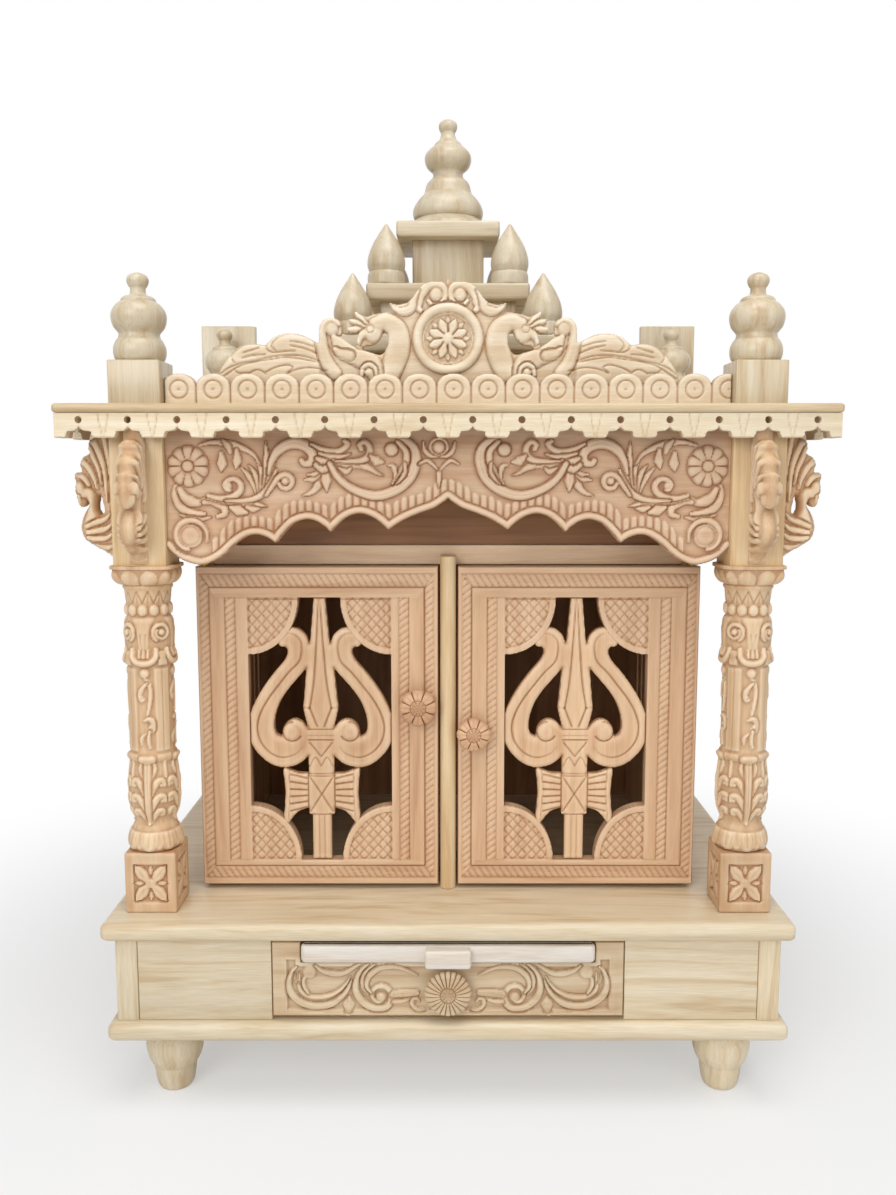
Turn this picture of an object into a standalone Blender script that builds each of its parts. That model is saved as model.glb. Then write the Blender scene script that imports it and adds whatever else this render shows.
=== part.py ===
"""Pooja mandir: a household temple in carved pale wood.

A base box with a drawer and a pull-out tray stands on four turned feet. On its deck are a cabinet
with two pierced trident doors, two turned columns, a scalloped valance and four peacock brackets.
Above the roof board are a fringe, a parapet, a crest with two peacocks, corner finials and a tower.

Metres, +Z up, the front looks along -Y and X = 0 is the middle. Every size below is a driving size.
"""
import math

import bmesh
import bpy

GAP = 0.0003            # air between two pieces that touch
CLEAR = 0.005           # air round a piece that moves

# Storeys, from the floor up
FOOT_H = 0.077
PLINTH_T = 0.020
BASE_H = 0.089
DECK_T = 0.019
COLUMN_H = 0.360
POST_H = 0.150
ROOF_T = 0.009
FINIAL_BLOCK_H = 0.043
FINIAL_H = 0.087

# Plan sizes
DECK_W = 0.705
DECK_D = 0.515
BASE_INSET = 0.012
PLINTH_INSET = 0.003
BOARD = 0.015           # panels of the base, doors and side walls
BACK_T = 0.009
BLOCK = 0.053           # square of a column's base
BLOCK_INSET = 0.019     # from the deck's edge to the block, at the side
BLOCK_SET_BACK = 0.0295
ROOF_OVER = 0.0465      # roof past the block, at the side
VALANCE_SET_BACK = 0.004  # behind the faces of the posts
ROOF_SET_BACK = 0.005
BRACKET_REACH = 0.0425  # peacock bracket, past the post's face
BRACKET_T = 0.025

# Turned work
FOOT_R = 0.031
SHAFT_R = 0.023
VASE_R = 0.0262
FINIAL_R = 0.027

# Doors
DOOR_SLIT = 0.0131      # between a block and the door's outer edge
DOOR_SET_BACK = 0.094   # face of the doors behind the deck's edge
DOOR_H = 0.3495
MULLION_W = 0.017
MULLION_OVER = 0.0115    # mullion past the top of the doors
RAIL_H = 0.021
STILE_INNER_SHARE = 0.1859   # of the door's width
STILE_OUTER_SHARE = 0.2115
DOOR_HEAD_SHARE = 0.0959     # of the door's height
DOOR_SILL_SHARE = 0.0787
ROUNDEL_W_SHARE = 0.353      # quarter rounds left standing in the corners of a door's window
ROUNDEL_H_SHARE = 0.2114
FRET_T = 0.009
KNOB_R = 0.0202

# Drawer and tray
DRAWER_W = 0.360
DRAWER_BACK_ROOM = 0.0707   # left free behind the drawer
DRAWER_KNOB_R = 0.024
TRAY_SIDE = 0.030        # drawer front past the tray, at each side
TRAY_BACK_ROOM = 0.1417
TRAY_T = 0.006
LIP_H = 0.0185
LIP_T = 0.012
TAB_W = 0.047

# Roof work
FRINGE_H = 0.024
FRINGE_T = 0.010
FRONT_BAYS = 16
PARAPET_H = 0.031
PARAPET_SET_BACK = 0.042
PARAPET_T = 0.010
PARAPET_ARCHES = 16
CREST_H = 0.130
CREST_SET_BACK = 0.056
CREST_ROOM = 0.0485      # from the crest's tip to the corner block
MEDALLION_R = 0.0352
PLATE_T = 0.012
TOWER_LOWER = 0.200
TOWER_MIDDLE = 0.150
TOWER_TOP = 0.081
TOWER_OVER = 0.023      # lowest slab past its block
TIER_H = 0.063
TIER_MIDDLE_H = 0.041
TIER_TOP_H = 0.0555
SLAB_T = 0.018
BUD_H = 0.067
BUD_R = 0.021
DOME_H = 0.1265

# Levels
Z_PLINTH = FOOT_H
Z_BASE = Z_PLINTH + PLINTH_T
Z_DECK = Z_BASE + BASE_H
Z_FLOOR = Z_DECK + DECK_T
Z_POST = Z_FLOOR + COLUMN_H
Z_ROOF = Z_POST + POST_H
Z_TOP = Z_ROOF + ROOF_T

# Plan
COLUMN_X = DECK_W / 2 - BLOCK_INSET - BLOCK / 2
POST_FRONT = BLOCK_SET_BACK
REACH_FRONT = POST_FRONT - BRACKET_REACH
Y0 = -(DECK_D + REACH_FRONT) / 2      # deck's front edge, so that the whole is centred on Y = 0
Y_DECK_BACK = Y0 + DECK_D
Y_MID = Y0 + DECK_D / 2
COLUMN_Y = Y0 + BLOCK_SET_BACK + BLOCK / 2
REAR_Y = Y_DECK_BACK - BLOCK_SET_BACK - BLOCK / 2
ROOF_HALF = COLUMN_X + BLOCK / 2 + ROOF_OVER
ROOF_FRONT = Y0 + ROOF_SET_BACK
ROOF_BACK = Y_DECK_BACK - ROOF_SET_BACK
BASE_HALF = DECK_W / 2 - BASE_INSET
BASE_FRONT = Y0 + BASE_INSET
BASE_BACK = Y_DECK_BACK - BASE_INSET
DOOR_HALF = COLUMN_X - BLOCK / 2 - DOOR_SLIT
DOOR_FRONT = Y0 + DOOR_SET_BACK
DOOR_BACK = DOOR_FRONT + BOARD
CAB_FRONT = DOOR_BACK + CLEAR
CAB_BACK = REAR_Y - BLOCK / 2 + 0.008
DOOR_INNER = MULLION_W / 2 + CLEAR
DOOR_Z0 = Z_FLOOR + CLEAR
DOOR_Z1 = DOOR_Z0 + DOOR_H
HINGE_R = BOARD / 2
HINGE_X = DOOR_HALF - HINGE_R
HINGE_Y = DOOR_FRONT + HINGE_R
DOOR_W = DOOR_HALF - DOOR_INNER
WINDOW_X0 = DOOR_INNER + STILE_INNER_SHARE * DOOR_W
WINDOW_X1 = DOOR_HALF - STILE_OUTER_SHARE * DOOR_W
WINDOW_Z0 = DOOR_Z0 + DOOR_SILL_SHARE * DOOR_H
WINDOW_Z1 = DOOR_Z1 - DOOR_HEAD_SHARE * DOOR_H
ROUNDEL_W = ROUNDEL_W_SHARE * (WINDOW_X1 - WINDOW_X0)
ROUNDEL_H = ROUNDEL_H_SHARE * (WINDOW_Z1 - WINDOW_Z0)
TRAY_W = DRAWER_W - 2 * TRAY_SIDE
CREST_HALF_W = COLUMN_X - BLOCK / 2 - CREST_ROOM
INNER_BACK = BASE_BACK - BOARD


def material(name, color, rough):
    """A plain Principled material for one slot."""
    mat = bpy.data.materials.new(name)
    mat.use_nodes = True
    shader = mat.node_tree.nodes["Principled BSDF"]
    shader.inputs["Base Color"].default_value = (*color, 1.0)
    shader.inputs["Roughness"].default_value = rough
    return mat


def add_mesh(name, verts, faces, mat, hidden=False):
    """Make an object from points and faces, with its faces turned outward."""
    mesh = bpy.data.meshes.new(name)
    mesh.from_pydata(verts, [], faces)
    work = bmesh.new()
    work.from_mesh(mesh)
    bmesh.ops.recalc_face_normals(work, faces=work.faces)
    work.to_mesh(mesh)
    work.free()
    obj = bpy.data.objects.new(name, mesh)
    bpy.context.scene.collection.objects.link(obj)
    if mat is not None:
        mesh.materials.append(mat)
    if hidden:
        obj.hide_render = True
        obj.display_type = "WIRE"
    return obj


def box(name, x, y, z, mat, round_by=0.0, hidden=False):
    """A board from three (low, high) pairs, its edges rounded by round_by."""
    work = bmesh.new()
    bmesh.ops.create_cube(work, size=1.0)
    for v in work.verts:
        v.co.x = x[1] if v.co.x > 0 else x[0]
        v.co.y = y[1] if v.co.y > 0 else y[0]
        v.co.z = z[1] if v.co.z > 0 else z[0]
    if round_by > 0:
        bmesh.ops.bevel(work, geom=work.edges[:], offset=round_by, segments=2, profile=0.5,
                        affect="EDGES")
    verts = [v.co[:] for v in work.verts]
    faces = [[v.index for v in f.verts] for f in work.faces]
    work.free()
    return add_mesh(name, verts, faces, mat, hidden)


def turned_rings(cx, cy, rings, count, start=0):
    """Points and faces of a closed turned solid from (z, radius) rings."""
    verts = []
    faces = []
    for z, r in rings:
        for k in range(count):
            a = 2 * math.pi * (k + 0.5) / count
            verts.append((cx + r * math.cos(a), cy + r * math.sin(a), z))
    for i in range(len(rings) - 1):
        for k in range(count):
            n = (k + 1) % count
            faces.append([start + i * count + k, start + i * count + n,
                          start + (i + 1) * count + n, start + (i + 1) * count + k])
    faces.append([start + k for k in range(count)][::-1])
    faces.append([start + (len(rings) - 1) * count + k for k in range(count)])
    return verts, faces


def turned(name, cx, cy, rings, mat, count=20, hidden=False):
    """A turned solid about a vertical axis."""
    verts, faces = turned_rings(cx, cy, rings, count)
    return add_mesh(name, verts, faces, mat, hidden)


def turned_many(name, centres, rings, count=16):
    """Several equal turned solids in one hidden mesh, to be joined to another."""
    verts = []
    faces = []
    for cx, cy in centres:
        v, f = turned_rings(cx, cy, rings, count, len(verts))
        verts += v
        faces += f
    return add_mesh(name, verts, faces, None, True)


def square_stack(name, cx, cy, levels, mat, hidden=False):
    """A solid of square sections from (z, half side) levels."""
    rings = [(z, half * math.sqrt(2)) for z, half in levels]
    verts, faces = turned_rings(cx, cy, rings, 4)
    return add_mesh(name, verts, faces, mat, hidden)


def plate(name, outline, depth, mat, plane="XZ", hidden=False):
    """A plate from a closed outline of (across, up) points between two depths."""
    n = len(outline)
    verts = []
    for d in depth:
        for a, z in outline:
            verts.append((a, d, z) if plane == "XZ" else (d, a, z))
    faces = [list(range(n)), list(range(n, 2 * n))[::-1]]
    for k in range(n):
        m = (k + 1) % n
        faces.append([k, m, n + m, n + k])
    return add_mesh(name, verts, faces, mat, hidden)


def join_with(target, tool, how="UNION"):
    """Boolean of two solids, kept as a live modifier with its tool hidden."""
    mod = target.modifiers.new(how.lower() + "_" + tool.name, "BOOLEAN")
    mod.operation = how
    mod.solver = "EXACT"
    mod.object = tool
    return target


def arc(cx, cz, r, a0, a1, steps):
    """Points on an arc, angles in degrees."""
    out = []
    for k in range(steps + 1):
        a = math.radians(a0 + (a1 - a0) * k / steps)
        out.append((cx + r * math.cos(a), cz + r * math.sin(a)))
    return out


def mirrored(half):
    """Close a half outline from the middle line out with its mirror image."""
    other = [(-x, z) for x, z in reversed(half) if abs(x) > 1e-9]
    return half + other


def make_feet(mat):
    """Four turned feet under the plinth."""
    rings = [(0.0, 0.62), (0.03, 0.64), (0.16, 0.66), (0.30, 0.78), (0.45, 0.93), (0.60, 1.0),
             (0.74, 0.95), (0.86, 0.80), (0.90, 0.86), (1.0, 0.86)]
    top = FOOT_H - GAP
    levels = [(top * t, FOOT_R * r) for t, r in rings]
    fx = DECK_W / 2 - BASE_INSET - 1.47 * FOOT_R
    for side, sx in (("left", -1), ("right", 1)):
        turned("foot_front_" + side, sx * fx, Y0 + 0.060, levels, mat, 20)
        turned("foot_rear_" + side, sx * fx, Y_DECK_BACK - 0.060, levels, mat, 20)


def make_base(wood, dark):
    """Plinth board, the base box round the drawer, the runners in it and the deck."""
    half = DECK_W / 2 - PLINTH_INSET
    box("plinth_board", (-half, half), (Y0 + PLINTH_INSET, Y_DECK_BACK - PLINTH_INSET),
        (Z_PLINTH, Z_BASE), wood, 0.006)
    z = (Z_BASE + GAP, Z_DECK - GAP)
    far = (Z_BASE - 0.02, Z_DECK + 0.02)
    body = box("base_box", (-BASE_HALF, BASE_HALF), (BASE_FRONT, BASE_BACK), z, wood)
    inner = BASE_HALF - BOARD
    room = box("base_room", (-inner, inner), (BASE_FRONT + BOARD, BASE_BACK - BOARD), far, None, 0,
               True)
    join_with(body, room, "DIFFERENCE")
    hole = DRAWER_W / 2 + CLEAR
    mouth = box("base_mouth", (-hole, hole), (BASE_FRONT - 0.02, BASE_FRONT + BOARD + 0.02), far,
                None, 0, True)
    join_with(body, mouth, "DIFFERENCE")
    for side, sx in (("left", -1), ("right", 1)):
        inner = DRAWER_W / 2 - 0.008
        x = sorted((sx * (inner - 0.012), sx * inner))
        box("drawer_runner_" + side, x, (BASE_FRONT + BOARD + CLEAR, BASE_BACK - BOARD - GAP),
            (Z_BASE + GAP, Z_BASE + 0.0077), dark)
    half = DECK_W / 2
    box("deck_board", (-half, half), (Y0, Y_DECK_BACK), (Z_DECK, Z_FLOOR), wood, 0.006)


def make_drawer(wood, dark, carved):
    """Drawer with a notched front, its open box and the flower knob."""
    half = DRAWER_W / 2
    z0 = Z_BASE + CLEAR
    z1 = Z_DECK - CLEAR
    ear = TRAY_W / 2 + CLEAR
    notch = z1 - LIP_H - CLEAR
    outline = [(-half, z0), (half, z0), (half, z1), (ear, z1), (ear, notch), (-ear, notch),
               (-ear, z1), (-half, z1)]
    front = plate("drawer_front", outline, (BASE_FRONT, BASE_FRONT + BOARD), wood)
    rail = 0.0165
    recess = [(-half + rail, z0 + 0.006), (half - rail, z0 + 0.006), (half - rail, notch - 0.004),
              (-half + rail, notch - 0.004)]
    join_with(front, plate("drawer_recess", recess, (BASE_FRONT - 0.01, BASE_FRONT + 0.002),
                           None, "XZ", True), "DIFFERENCE")
    back = BASE_FRONT + BOARD + GAP
    wide = half - 0.008
    deep = INNER_BACK - DRAWER_BACK_ROOM
    tub = box("drawer_box", (-wide, wide), (back, deep), (Z_BASE + 0.008, notch - 0.006), dark)
    wall = 0.008
    inside = box("drawer_inside", (-wide + wall, wide - wall), (back + wall, deep - wall),
                 (Z_BASE + 0.008 + wall, notch + 0.05), None, 0, True)
    join_with(tub, inside, "DIFFERENCE")
    knob("drawer_knob", 0.0, (z0 + notch) / 2 + 0.0015, BASE_FRONT + 0.002, DRAWER_KNOB_R, 0.019,
         carved)


def knob(name, x, z, face_y, radius, out, mat):
    """A flower knob with a stem, standing out along -Y from a face."""
    count = 24
    steps = [(GAP, 0.5), (0.28, 0.5), (0.40, 0.98), (0.62, 1.0), (0.80, 0.86), (0.86, 0.50),
             (1.0, 0.42)]
    verts = []
    faces = []
    for t, r in steps:
        for k in range(count):
            a = 2 * math.pi * k / count
            petal = 1.0 - 0.045 * (k % 2) if r > 0.8 else 1.0
            verts.append((x + radius * r * petal * math.cos(a),
                          face_y - max(GAP, out * t),
                          z + radius * r * petal * math.sin(a)))
    for i in range(len(steps) - 1):
        for k in range(count):
            n = (k + 1) % count
            faces.append([i * count + k, i * count + n, (i + 1) * count + n, (i + 1) * count + k])
    faces.append(list(range(count)))
    faces.append([(len(steps) - 1) * count + k for k in range(count)][::-1])
    return add_mesh(name, verts, faces, mat)


def make_tray(wood, pale):
    """Pull-out tray over the drawer: board, lip, tab and the two rails that carry it."""
    top = Z_DECK - CLEAR
    lip_front = BASE_FRONT - 0.008
    half = TRAY_W / 2
    board_half = half - 0.010
    z0 = top - 0.011
    lip = box("tray_lip", (-half, half), (lip_front, lip_front + LIP_T), (top - LIP_H, top), pale,
              0.003)
    y = lip_front + LIP_T + GAP
    box("tray_board", (-board_half, board_half), (y, INNER_BACK - TRAY_BACK_ROOM),
        (z0, z0 + TRAY_T), wood)
    tab = box("tray_tab", (-TAB_W / 2, TAB_W / 2), (lip_front - 0.010, lip_front + 0.004),
              (top - LIP_H - 0.002, top - 0.0015), None, 0.003, True)
    join_with(lip, tab)
    for side, sx in (("left", -1), ("right", 1)):
        outer = board_half + CLEAR + 0.008
        step = board_half + CLEAR
        inner = board_half - 0.010
        z_low = z0 - 0.008
        outline = [(sx * inner, z_low), (sx * outer, z_low), (sx * outer, Z_DECK - GAP),
                   (sx * step, Z_DECK - GAP), (sx * step, z0 - GAP), (sx * inner, z0 - GAP)]
        plate("tray_rail_" + side, outline,
              (BASE_FRONT + BOARD + CLEAR, BASE_BACK - BOARD - GAP), wood)


COLUMN_PROFILE = [
    (0.0, 0.80), (0.030, 1.0), (0.075, 0.99), (0.095, 0.80), (0.110, 0.74), (0.160, 0.90),
    (0.215, 1.0), (0.262, 0.93), (0.290, 0.82), (0.305, 0.94), (0.325, 0.94), (0.340, 0.82),
    (0.365, 0.85), (0.610, 0.85), (0.640, 0.99), (0.672, 0.98), (0.690, 0.90), (0.800, 0.90),
    (0.832, 0.80), (0.850, 0.90), (0.890, 0.84), (0.925, 0.97), (0.940, 0.92), (0.960, 0.80),
    (1.0, 1.0)]


def make_columns(wood):
    """Two turned columns: square block, lotus, vase, vine shaft and flared capital."""
    block_h = BLOCK * 1.208
    cap_h = 0.010
    z0 = Z_FLOOR + GAP
    run = COLUMN_H - block_h - cap_h
    rings = [(z0 + block_h - 0.001, VASE_R * 0.8)]
    for t, r in COLUMN_PROFILE:
        rings.append((z0 + block_h + max(t, 0.004) * run, VASE_R * r))
    rings[-1] = (Z_POST - 0.008, VASE_R * 0.9)
    for side, sx in (("left", -1), ("right", 1)):
        x = sx * COLUMN_X
        col = square_stack("column_" + side, x, COLUMN_Y,
                           [(z0, BLOCK / 2), (z0 + block_h, BLOCK / 2)], wood)
        join_with(col, turned("column_turning_" + side, x, COLUMN_Y, rings, None, 20, True))
        z1 = Z_POST - GAP
        cap = square_stack("column_cap_" + side, x, COLUMN_Y,
                           [(z1 - cap_h - 0.012, BLOCK * 0.36), (z1 - cap_h, BLOCK * 0.62),
                            (z1, BLOCK * 0.62), (z1 + 0.0001, BLOCK / 2),
                            (Z_ROOF - GAP, BLOCK / 2)], None, True)
        join_with(col, cap)


def make_rear_posts(wood):
    """Plain square posts under the roof at the rear corners."""
    half = BLOCK / 2
    for side, sx in (("left", -1), ("right", 1)):
        x = sx * COLUMN_X
        box("rear_post_" + side, (x - half, x + half), (REAR_Y - half, REAR_Y + half),
            (Z_FLOOR + GAP, Z_ROOF - GAP), wood, 0.001)


PEACOCK = [
    (0.000, 0.000), (0.140, 0.055), (0.305, 0.088), (0.767, 0.173), (0.862, 0.218),
    (0.876, 0.275), (0.757, 0.365), (0.679, 0.406), (0.702, 0.439), (0.748, 0.414),
    (0.852, 0.397), (0.957, 0.456), (0.993, 0.513), (0.979, 0.570), (1.000, 0.612),
    (0.948, 0.632), (0.831, 0.636), (0.852, 0.692), (0.760, 0.739), (0.626, 0.760),
    (0.648, 0.809), (0.595, 0.850), (0.407, 0.875), (0.286, 0.918), (0.214, 0.998), (0.000, 0.998)]
PEACOCK_SLOT = [(0.33, 0.37), (0.45, 0.37), (0.47, 0.44), (0.40, 0.48), (0.33, 0.43)]


def make_brackets(wood):
    """Four pierced peacock brackets, beak outward, under the roof at the front posts."""
    z0 = Z_POST + GAP
    tall = POST_H - 2 * GAP
    reach = BRACKET_REACH - GAP
    y = COLUMN_Y - BLOCK / 2 - GAP
    limit = (y - (ROOF_FRONT + 0.002 + FRINGE_T) - GAP) / reach
    cut = (Z_ROOF - FRINGE_H - 0.0015 - z0) / tall
    front = [(u, v) for u, v in PEACOCK if v < cut]
    front += [(limit, cut), (limit, PEACOCK[-1][1]), (0.0, PEACOCK[-1][1])]
    half = BRACKET_T / 2
    for side, sx in (("left", -1), ("right", 1)):
        x = sx * COLUMN_X
        face = x + sx * (BLOCK / 2 + GAP)

        def on_front(points):
            """Bracket points as (Y, Z) in front of the post."""
            return [(y - u * reach, z0 + v * tall) for u, v in points]

        def on_side(points):
            """Bracket points as (X, Z) beside the post."""
            return [(face + sx * u * reach, z0 + v * tall) for u, v in points]

        body = plate("peacock_front_" + side, on_front(front), (x - half, x + half), wood, "YZ")
        join_with(body, plate("peacock_slot_front_" + side, on_front(PEACOCK_SLOT),
                              (x - 0.03, x + 0.03), None, "YZ", True), "DIFFERENCE")
        body = plate("peacock_side_" + side, on_side(PEACOCK),
                     (COLUMN_Y - half, COLUMN_Y + half), wood)
        join_with(body, plate("peacock_slot_side_" + side, on_side(PEACOCK_SLOT),
                              (COLUMN_Y - 0.03, COLUMN_Y + 0.03), None, "XZ", True), "DIFFERENCE")


VALANCE = [(0.000, 0.449), (0.030, 0.425), (0.095, 0.355), (0.150, 0.262), (0.185, 0.226),
           (0.221, 0.240), (0.250, 0.290), (0.290, 0.330), (0.324, 0.337), (0.365, 0.310),
           (0.400, 0.250), (0.420, 0.223), (0.445, 0.245), (0.475, 0.290), (0.509, 0.304),
           (0.560, 0.270), (0.605, 0.150), (0.635, 0.165), (0.685, 0.207), (0.740, 0.170),
           (0.800, 0.030), (0.850, 0.008), (0.890, 0.003), (0.930, 0.020), (0.945, 0.060),
           (0.965, 0.020), (1.0, 0.050)]


def make_valance(wood):
    """Scalloped arch board between the front posts."""
    half_w = COLUMN_X - BLOCK / 2 - GAP
    half = [(x * half_w, Z_POST + z * POST_H) for x, z in VALANCE]
    half.append((half_w, Z_ROOF - GAP))
    outline = mirrored(half)
    front = Y0 + POST_FRONT + VALANCE_SET_BACK
    plate("valance", outline, (front, front + BOARD), wood)


def make_cabinet(wood, dark, brass):
    """Side walls with slits, back, front rails, mullion and the pivots of the doors."""
    z = (Z_FLOOR + GAP, Z_ROOF - GAP)
    wall_back = CAB_BACK - BACK_T - GAP
    for side, sx in (("left", -1), ("right", 1)):
        x = sorted((sx * (DOOR_HALF - BOARD), sx * DOOR_HALF))
        wall = box("cabinet_side_" + side, x, (CAB_FRONT, wall_back), z, wood)
        verts = []
        faces = []
        run = wall_back - CAB_FRONT
        for k in range(7):
            y = CAB_FRONT + run * (0.22 + 0.09333 * k)
            slot = [(y - 0.005, Z_FLOOR + 0.12), (y + 0.005, Z_FLOOR + 0.12),
                    (y + 0.005, DOOR_Z1 - 0.06), (y, DOOR_Z1 - 0.05), (y - 0.005, DOOR_Z1 - 0.06)]
            base = len(verts)
            for d in (x[0] - 0.01, x[1] + 0.01):
                verts += [(d, a, b) for a, b in slot]
            n = len(slot)
            faces.append([base + i for i in range(n)])
            faces.append([base + n + i for i in range(n)][::-1])
            for i in range(n):
                m = (i + 1) % n
                faces.append([base + i, base + m, base + n + m, base + n + i])
        join_with(wall, add_mesh("slits_" + side, verts, faces, None, True), "DIFFERENCE")
    box("cabinet_back", (-DOOR_HALF, DOOR_HALF), (CAB_BACK - BACK_T, CAB_BACK), z, dark)
    inner = DOOR_HALF - BOARD - GAP
    rail_z = DOOR_Z1 + 0.0005
    box("cabinet_rail", (-inner, inner), (CAB_FRONT, CAB_FRONT + BOARD),
        (rail_z, rail_z + RAIL_H), wood, 0.001)
    box("cabinet_upper_board", (-inner, inner), (CAB_FRONT + 0.004, CAB_FRONT + 0.004 + BACK_T),
        (rail_z + RAIL_H + GAP, Z_ROOF - GAP), wood)
    half = MULLION_W / 2
    front = DOOR_FRONT - 0.003
    flat = front + half
    outline = arc(0.0, flat, half, 180, 360, 10) + [(half, CAB_FRONT - GAP),
                                                    (-half, CAB_FRONT - GAP)]
    n = len(outline)
    verts = [(x, y, h) for h in (Z_FLOOR + GAP, DOOR_Z1 + MULLION_OVER) for x, y in outline]
    faces = [list(range(n))[::-1], list(range(n, 2 * n))]
    for k in range(n):
        m = (k + 1) % n
        faces.append([k, m, n + m, n + k])
    add_mesh("centre_mullion", verts, faces, wood)
    for side, sx in (("left", -1), ("right", 1)):
        x = sx * HINGE_X
        low = DOOR_Z1 + 0.0015
        arm = box("pivot_upper_" + side, (x - 0.005, x + 0.005), (HINGE_Y - 0.005, CAB_FRONT - GAP),
                  (low, low + 0.002), brass)
        pin = turned("pivot_pin_" + side, x, HINGE_Y, [(DOOR_Z1 + GAP, 0.003),
                                                       (low + 0.001, 0.003)], None, 16, True)
        join_with(arm, pin)


def door_window(x0, x1, z0, z1, grow=0.0):
    """Window outline with a quarter ellipse left standing in each corner."""
    out = []
    for cx, cz, start in ((x0, z0, 90), (x1, z0, 180), (x1, z1, 270), (x0, z1, 360)):
        for x, z in arc(0.0, 0.0, 1.0, start, start - 90, 9):
            out.append((cx + x * (ROUNDEL_W + grow), cz + z * (ROUNDEL_H + grow)))
    return out


TRIDENT = [
    (0.000, 1.000), (0.075, 1.000), (0.135, 0.845), (0.143, 0.825), (0.190, 0.858),
    (0.300, 0.885), (0.400, 0.888), (0.500, 0.878), (0.570, 0.855), (0.583, 0.833),
    (0.550, 0.820), (0.465, 0.812), (0.500, 0.766), (0.660, 0.716), (0.812, 0.660),
    (0.940, 0.600), (1.000, 0.541), (1.000, 0.495), (0.990, 0.449), (0.885, 0.409),
    (0.740, 0.373), (0.571, 0.356), (0.397, 0.363), (0.179, 0.402), (0.177, 0.333),
    (0.350, 0.337), (0.530, 0.352), (0.527, 0.297), (0.544, 0.165), (0.527, 0.135),
    (0.348, 0.185), (0.179, 0.201), (0.179, 0.175), (0.132, 0.174), (0.132, 0.000)]
TRIDENT_HOLE = [
    (0.194, 0.738), (0.294, 0.706), (0.444, 0.660), (0.561, 0.614), (0.640, 0.561), (0.657, 0.515),
    (0.630, 0.487), (0.559, 0.477), (0.458, 0.535), (0.360, 0.543), (0.262, 0.531), (0.186, 0.510),
    (0.265, 0.599)]


def clear_of_roundels(points, half_w, tall):
    """Push fret points, measured from the middle of the sill, out of the corner rounds."""
    rx = ROUNDEL_W + 0.0012
    rz = ROUNDEL_H + 0.0012
    out = []
    for x, z in points:
        for cz in (0.0, tall):
            dx = (abs(x) - half_w) / rx
            dz = (z - cz) / rz
            d = math.hypot(dx, dz)
            if 1e-6 < d < 1.0:
                x = math.copysign(half_w + dx / d * rx, x)
                z = cz + dz / d * rz
        out.append((x, z))
    return out


def make_door(side, sx, wood, carved):
    """Pierced door: frame with quarter roundels, trident fret and flower knob."""
    inner = DOOR_INNER
    rad = HINGE_R
    z = (DOOR_Z0, DOOR_Z1)
    heel = arc(sx * HINGE_X, HINGE_Y, rad, -90, 90 if sx > 0 else -270, 8)
    outline = [(sx * inner, DOOR_FRONT)] + heel + [(sx * inner, DOOR_BACK)]
    n = len(outline)
    verts = [(x, y, h) for h in z for x, y in outline]
    faces = [list(range(n))[::-1], list(range(n, 2 * n))]
    for k in range(n):
        m = (k + 1) % n
        faces.append([k, m, n + m, n + k])
    frame = add_mesh("door_frame_" + side, verts, faces, wood)
    pin = turned("door_pin_" + side, sx * HINGE_X, HINGE_Y,
                 [(Z_FLOOR + GAP, 0.003), (DOOR_Z0 + 0.004, 0.003)], None, 16, True)
    join_with(frame, pin)
    low, high = sorted((sx * WINDOW_X0, sx * WINDOW_X1))
    sill = WINDOW_Z0
    head = WINDOW_Z1
    join_with(frame, plate("door_window_" + side, door_window(low, high, sill, head),
                           (DOOR_FRONT - 0.01, DOOR_BACK + 0.01), None, "XZ", True), "DIFFERENCE")
    mid = (low + high) / 2
    half_w = (high - low) / 2
    tall = head - sill - 2 * GAP
    half = [(u * (half_w - GAP), v * tall) for u, v in TRIDENT]
    half = clear_of_roundels(half, half_w, tall)
    outline = half + [(-x, h) for x, h in reversed(half) if x > 1e-9]
    back = DOOR_FRONT + 0.003
    depth = (back, back + FRET_T)
    fret = plate("door_fret_" + side, [(mid + x, sill + GAP + h) for x, h in outline], depth, carved)
    for way in (-1, 1):
        hole = [(mid + way * u * half_w, sill + v * tall) for u, v in TRIDENT_HOLE]
        join_with(fret, plate("fret_hole_%s_%s" % (side, "ab"[way > 0]), hole,
                              (back - 0.01, back + 0.03), None, "XZ", True), "DIFFERENCE")
    share, kz, kr = (0.072, 0.572, 1.0) if sx < 0 else (0.055, 0.489, 0.91)
    kx = sx * (inner + share * DOOR_W)
    knob("door_knob_" + side, kx, DOOR_Z0 + kz * DOOR_H, DOOR_FRONT, KNOB_R * kr, KNOB_R, carved)


def fringe_outline(length, bays):
    """Outline of a fringe from its middle: lobes with a notch below each hole, flat on top."""
    pitch = length / bays
    out = [(length / 2, Z_ROOF - GAP), (-length / 2, Z_ROOF - GAP)]
    low = Z_ROOF - FRINGE_H
    shape = [(0.0, 0.0), (0.22, 0.06), (0.30, 0.20), (0.40, 0.22), (0.5, 0.40), (0.60, 0.22),
             (0.70, 0.20), (0.78, 0.06)]
    for k in range(bays):
        for u, v in shape:
            out.append((-length / 2 + (k + u) * pitch, low + v * FRINGE_H))
    out.append((length / 2, low))
    return out


def holes(name, centres, r, depth, plane="XZ"):
    """Short round bars that pierce a fringe."""
    verts = []
    faces = []
    n = 8
    for c, z in centres:
        base = len(verts)
        for d in depth:
            for k in range(n):
                a = 2 * math.pi * k / n
                p = (c + r * math.cos(a), z + r * math.sin(a))
                verts.append((p[0], d, p[1]) if plane == "XZ" else (d, p[0], p[1]))
        faces.append([base + k for k in range(n)])
        faces.append([base + n + k for k in range(n)][::-1])
        for k in range(n):
            m = (k + 1) % n
            faces.append([base + k, base + m, base + n + m, base + n + k])
    return add_mesh(name, verts, faces, None, True)


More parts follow.
